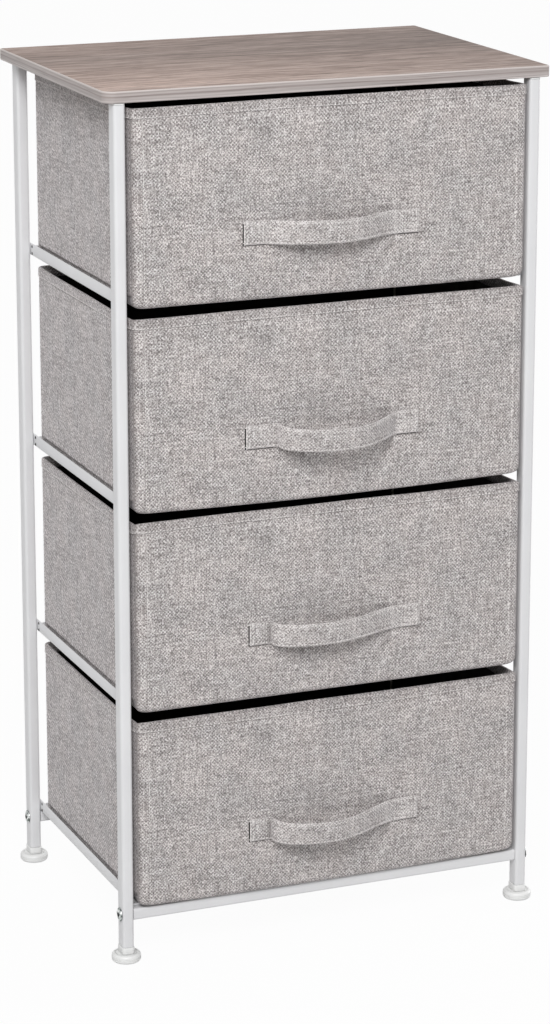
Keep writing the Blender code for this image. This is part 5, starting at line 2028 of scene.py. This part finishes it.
def build_bolt_tree():
    """Instances of one object on points, facing along `out`."""
    tree, given, out = new_group(
        "bolt_points",
        [
            ("Points", "NodeSocketGeometry"),
            ("Pattern", "NodeSocketObject"),
            ("Turn", "NodeSocketFloat"),
            ("Seed", "NodeSocketInt"),
            ("Plating", "NodeSocketMaterial"),
        ],
        [("Bolts", "NodeSocketGeometry")],
        "GeometryNodeTree",
    )
    pattern = add_node(tree, "GeometryNodeObjectInfo", [("Object", given["Pattern"])])
    rotation = turned_by_chance(tree, facing_out(tree), 0.0, given["Turn"], given["Seed"])
    inputs = [("Points", given["Points"]), ("Instance", pattern.outputs["Geometry"])]
    inputs += [("Rotation", rotation)]
    stand = add_node(tree, "GeometryNodeInstanceOnPoints", inputs)
    solid = add_node(tree, "GeometryNodeRealizeInstances", [(0, stand.outputs[0])])
    inputs = [("Geometry", solid.outputs[0]), ("Material", given["Plating"])]
    painted = add_node(tree, "GeometryNodeSetMaterial", inputs)
    feed(tree, out["Bolts"], painted.outputs[0])
    return tree


bolt_tree = build_bolt_tree()
bolt_rows = []
for corner_name in CORNERS:
    low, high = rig.box("crossbar_bolt_" + corner_name)
    side = -1.0 if "left" in corner_name else 1.0
    post_low, post_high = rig.box("post_" + corner_name)
    face_x = post_low.x if side < 0 else post_high.x
    middle = (low + high) / 2
    bolt_rows.append(([(face_x + side * HEAD_STAND_OFF, middle.y, middle.z)], [(side, 0, 0)]))
bolt_settings = {"Pattern": pattern_head, "Turn": math.pi / 3, "Seed": 5, "Plating": zinc}
bolts = grow("bolt_heads", bolt_tree, bolt_rows, bolt_settings)
bpy.data.objects.remove(pattern_head)
finish_piece(bolts, zinc, "frame", "zinc", *["crossbar_bolt_" + corner_name for corner_name in CORNERS])
print("bolt heads:", len(bolts.data.polygons), "faces")

# %% [markdown]
# Two rivets sit in the holes near the rear of each rail, where it is fixed to the post; they are
# painted nearly black all over, as painted shade for those holes. One small button is turned like a
# foot, and the bolts' tree sets it on sixteen points.

# %% Rail rivets
RIVET_RADIUS = 1.5 * MM
RIVET_HEIGHT = 0.5 * MM
RIVET_SPACING = 7.0 * MM
RIVET_SETBACK = 3.0 * MM
RIVET_FLAT = 0.5 * RIVET_RADIUS
RIVET_SHOULDER = 0.4 * RIVET_HEIGHT

rivet_profile = [(RIVET_FLAT, RIVET_HEIGHT), (RIVET_RADIUS, RIVET_SHOULDER), (RIVET_RADIUS, 0.0)]
pattern_rivet = turned_piece("rivet_pattern", (0.0, 0.0), rivet_profile)
# Painted shade: the whole rivet takes the nearly black colour of the sunk places
store_values(pattern_rivet, "recess", np.ones(len(pattern_rivet.data.vertices)))
rivet_rows = []
for side_name, side in (("left", -1.0), ("right", 1.0)):
    rivet_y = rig.box(f"post_rear_{side_name}")[0].y - RIVET_SETBACK
    for number in DRAWERS:
        low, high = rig.box(f"rail_{side_name}_{number}")
        rivet_x = low.x if side < 0 else high.x
        for direction in (-1, 1):
            rivet_z = low.z + RAIL_HEIGHT / 2 + direction * RIVET_SPACING / 2
            rivet_rows.append(([(rivet_x, rivet_y, rivet_z)], [(side, 0, 0)]))
rivet_settings = {"Pattern": pattern_rivet, "Turn": math.pi, "Seed": 7, "Plating": zinc}
rivets = grow("rail_rivets", bolt_tree, rivet_rows, rivet_settings)
bpy.data.objects.remove(pattern_rivet)
finish_piece(rivets, zinc, "frame", "zinc")
print("rail rivets:", len(rivet_rows))

# %% [markdown]
# Covers, linings and straps are declared as cloth, with the size that they were cut to, so that
# whoever reuses the part can cut or simulate them. A cover is a rectangle as wide as the floor and
# both side walls, and as long as the floor, the front and the rear, with its corners cut out; a
# lining is the same from the inside, and a strap is a plain strip as long as its path.

for number in DRAWERS:
    cloth = cloths[number]
    wall_height = cloth.height + HEM_DEPTH
    width, depth = 2 * cloth.half, cloth.depth
    flat = (width + 2 * wall_height, depth + 2 * wall_height)
    area = width * depth + 2 * (width + depth) * wall_height
    boards = [f"drawer_{number}_front_board", f"drawer_{number}_bottom_board"]
    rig.sheet(covers[number], flat=flat, held="stretched", rests_on=boards, area=area)
    inside_width, inside_depth = width - 2 * SIDE_WALL, depth - SIDE_WALL - FRONT_WALL
    lining_height = cloth.height - LINING_TOP
    lining_flat = (inside_width + 2 * lining_height, inside_depth + 2 * lining_height)
    lining_area = inside_width * inside_depth + 2 * (inside_width + inside_depth) * lining_height
    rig.sheet(
        linings[number], lining_flat, "stretched", covers[number], lining_area, with_pieces=tapes[number]
    )
    strap_flat = (STRAP_WIDTH, straps[number].run[-1])
    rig.sheet(handles[number], strap_flat, "hung", covers[number], with_pieces=shadow_strips[number])
print("cut size of a cover:", [round(v, 3) for v in flat], "m, area", round(area, 3), "m2")
print("cut size of a lining:", [round(v, 3) for v in lining_flat], "m, area", round(lining_area, 3), "m2")

# %% [markdown]
# The photograph has a plain white ground. A bright enough floor would throw too much light up at the
# tower, so a Light Path node parts what is seen from what lights: the camera, and mirrors and clear
# pieces, see floor and sky as white, while the light that they give stays at a plain level.

# %% Floor and sky
FLOOR_SIZE = 14.0
FLOOR_SHADE = 0.68
FLOOR_GLOW = 0.965
FLOOR_DROP = 0.2 * MM
SKY_LIGHT = 0.40


def seen_directly(tree):
    """1 for what the camera sees, in a mirror or through a clear piece too, and 0 for light."""
    path = tree.nodes.new("ShaderNodeLightPath").outputs
    mirrored = calc(tree, "MAXIMUM", path["Is Camera Ray"], path["Is Glossy Ray"])
    return calc(tree, "MAXIMUM", mirrored, path["Is Transmission Ray"])


half_floor = FLOOR_SIZE / 2
floor_corners = [(-1, -1), (1, -1), (1, 1), (-1, 1)]
floor_mesh = bpy.data.meshes.new("floor")
floor_points = [(x * half_floor, y * half_floor, -FLOOR_DROP) for x, y in floor_corners]
floor_mesh.from_pydata(floor_points, [], [(0, 1, 2, 3)])
floor = bpy.data.objects.new("floor", floor_mesh)
bpy.context.scene.collection.objects.link(floor)
floor_paint, tree, shader = new_material("white_floor", roughness=0.9)
shader.inputs["Base Color"].default_value = (FLOOR_SHADE, FLOOR_SHADE, FLOOR_SHADE, 1)
glow = add_node(tree, "ShaderNodeEmission")
glow_share = calc(tree, "MULTIPLY", seen_directly(tree), FLOOR_GLOW)
layers = enumerate((glow_share, shader.outputs[0], glow.outputs[0]))
mixed = add_node(tree, "ShaderNodeMixShader", layers)
feed(tree, tree.nodes["Material Output"].inputs["Surface"], mixed.outputs[0])
floor_mesh.materials.append(floor_paint)
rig.stage(floor)

world = bpy.data.worlds.new("white_room")
world.use_nodes = True
tree = world.node_tree
sky = tree.nodes["Background"]
sky.inputs["Color"].default_value = (1, 1, 1, 1)
feed(tree, sky.inputs["Strength"], between(tree, seen_directly(tree), 0.0, 1.0, SKY_LIGHT, 1.0))
bpy.context.scene.world = world
bpy.context.scene.view_settings.view_transform = "Standard"
print("floor", FLOOR_SIZE, "m wide, sky light", SKY_LIGHT)

# %% [markdown]
# The main light comes softly from the front left, above the camera, so the tower's left side is lit
# nearly as well as its fronts. A weaker lamp from the right, a little behind, keeps the far side
# from going dark in other views. Large area lamps give the soft shadows of a studio; a sun lamp
# would draw them too hard.

# %% Lamps
LAMP_TARGET = Vector((0.0, 0.0, 0.45))
LAMP_DISTANCE = 5.0
LAMP_SIZE = 2.0
# Each lamp's angle from the front, clockwise from above towards the left, its height and its power
LAMPS = {"key_lamp": (28, 38, 178), "fill_lamp": (-105, 9, 95)}


def soft_lamp(name, azimuth, elevation, power):
    """A large square lamp that faces the tower."""
    turn, climb = math.radians(azimuth), math.radians(elevation)
    across = math.cos(climb)
    towards = Vector((-math.sin(turn) * across, -math.cos(turn) * across, math.sin(climb)))
    lamp_data = bpy.data.lights.new(name, "AREA")
    lamp_data.size = LAMP_SIZE
    lamp_data.energy = power
    lamp = bpy.data.objects.new(name, lamp_data)
    lamp.location = LAMP_TARGET + towards * LAMP_DISTANCE
    lamp.rotation_euler = towards.to_track_quat("Z", "Y").to_euler()
    bpy.context.scene.collection.objects.link(lamp)
    return lamp


for name, setting in LAMPS.items():
    print(name, "at", [round(v, 2) for v in soft_lamp(name, *setting).location])

# %% [markdown] Last, the dressed tower is measured, and its extents are written to a file beside
# those of the solids.

# %% Measure and finish
visual_low, visual_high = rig.bounds()
with open("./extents.json", "w") as size_file:
    json.dump(
        {"cad": [list(cad_low), list(cad_high)], "visual": [list(visual_low), list(visual_high)]}, size_file
    )
print("the dressed tower spans", [round(v / MM, 1) for v in visual_high - visual_low], "mm")
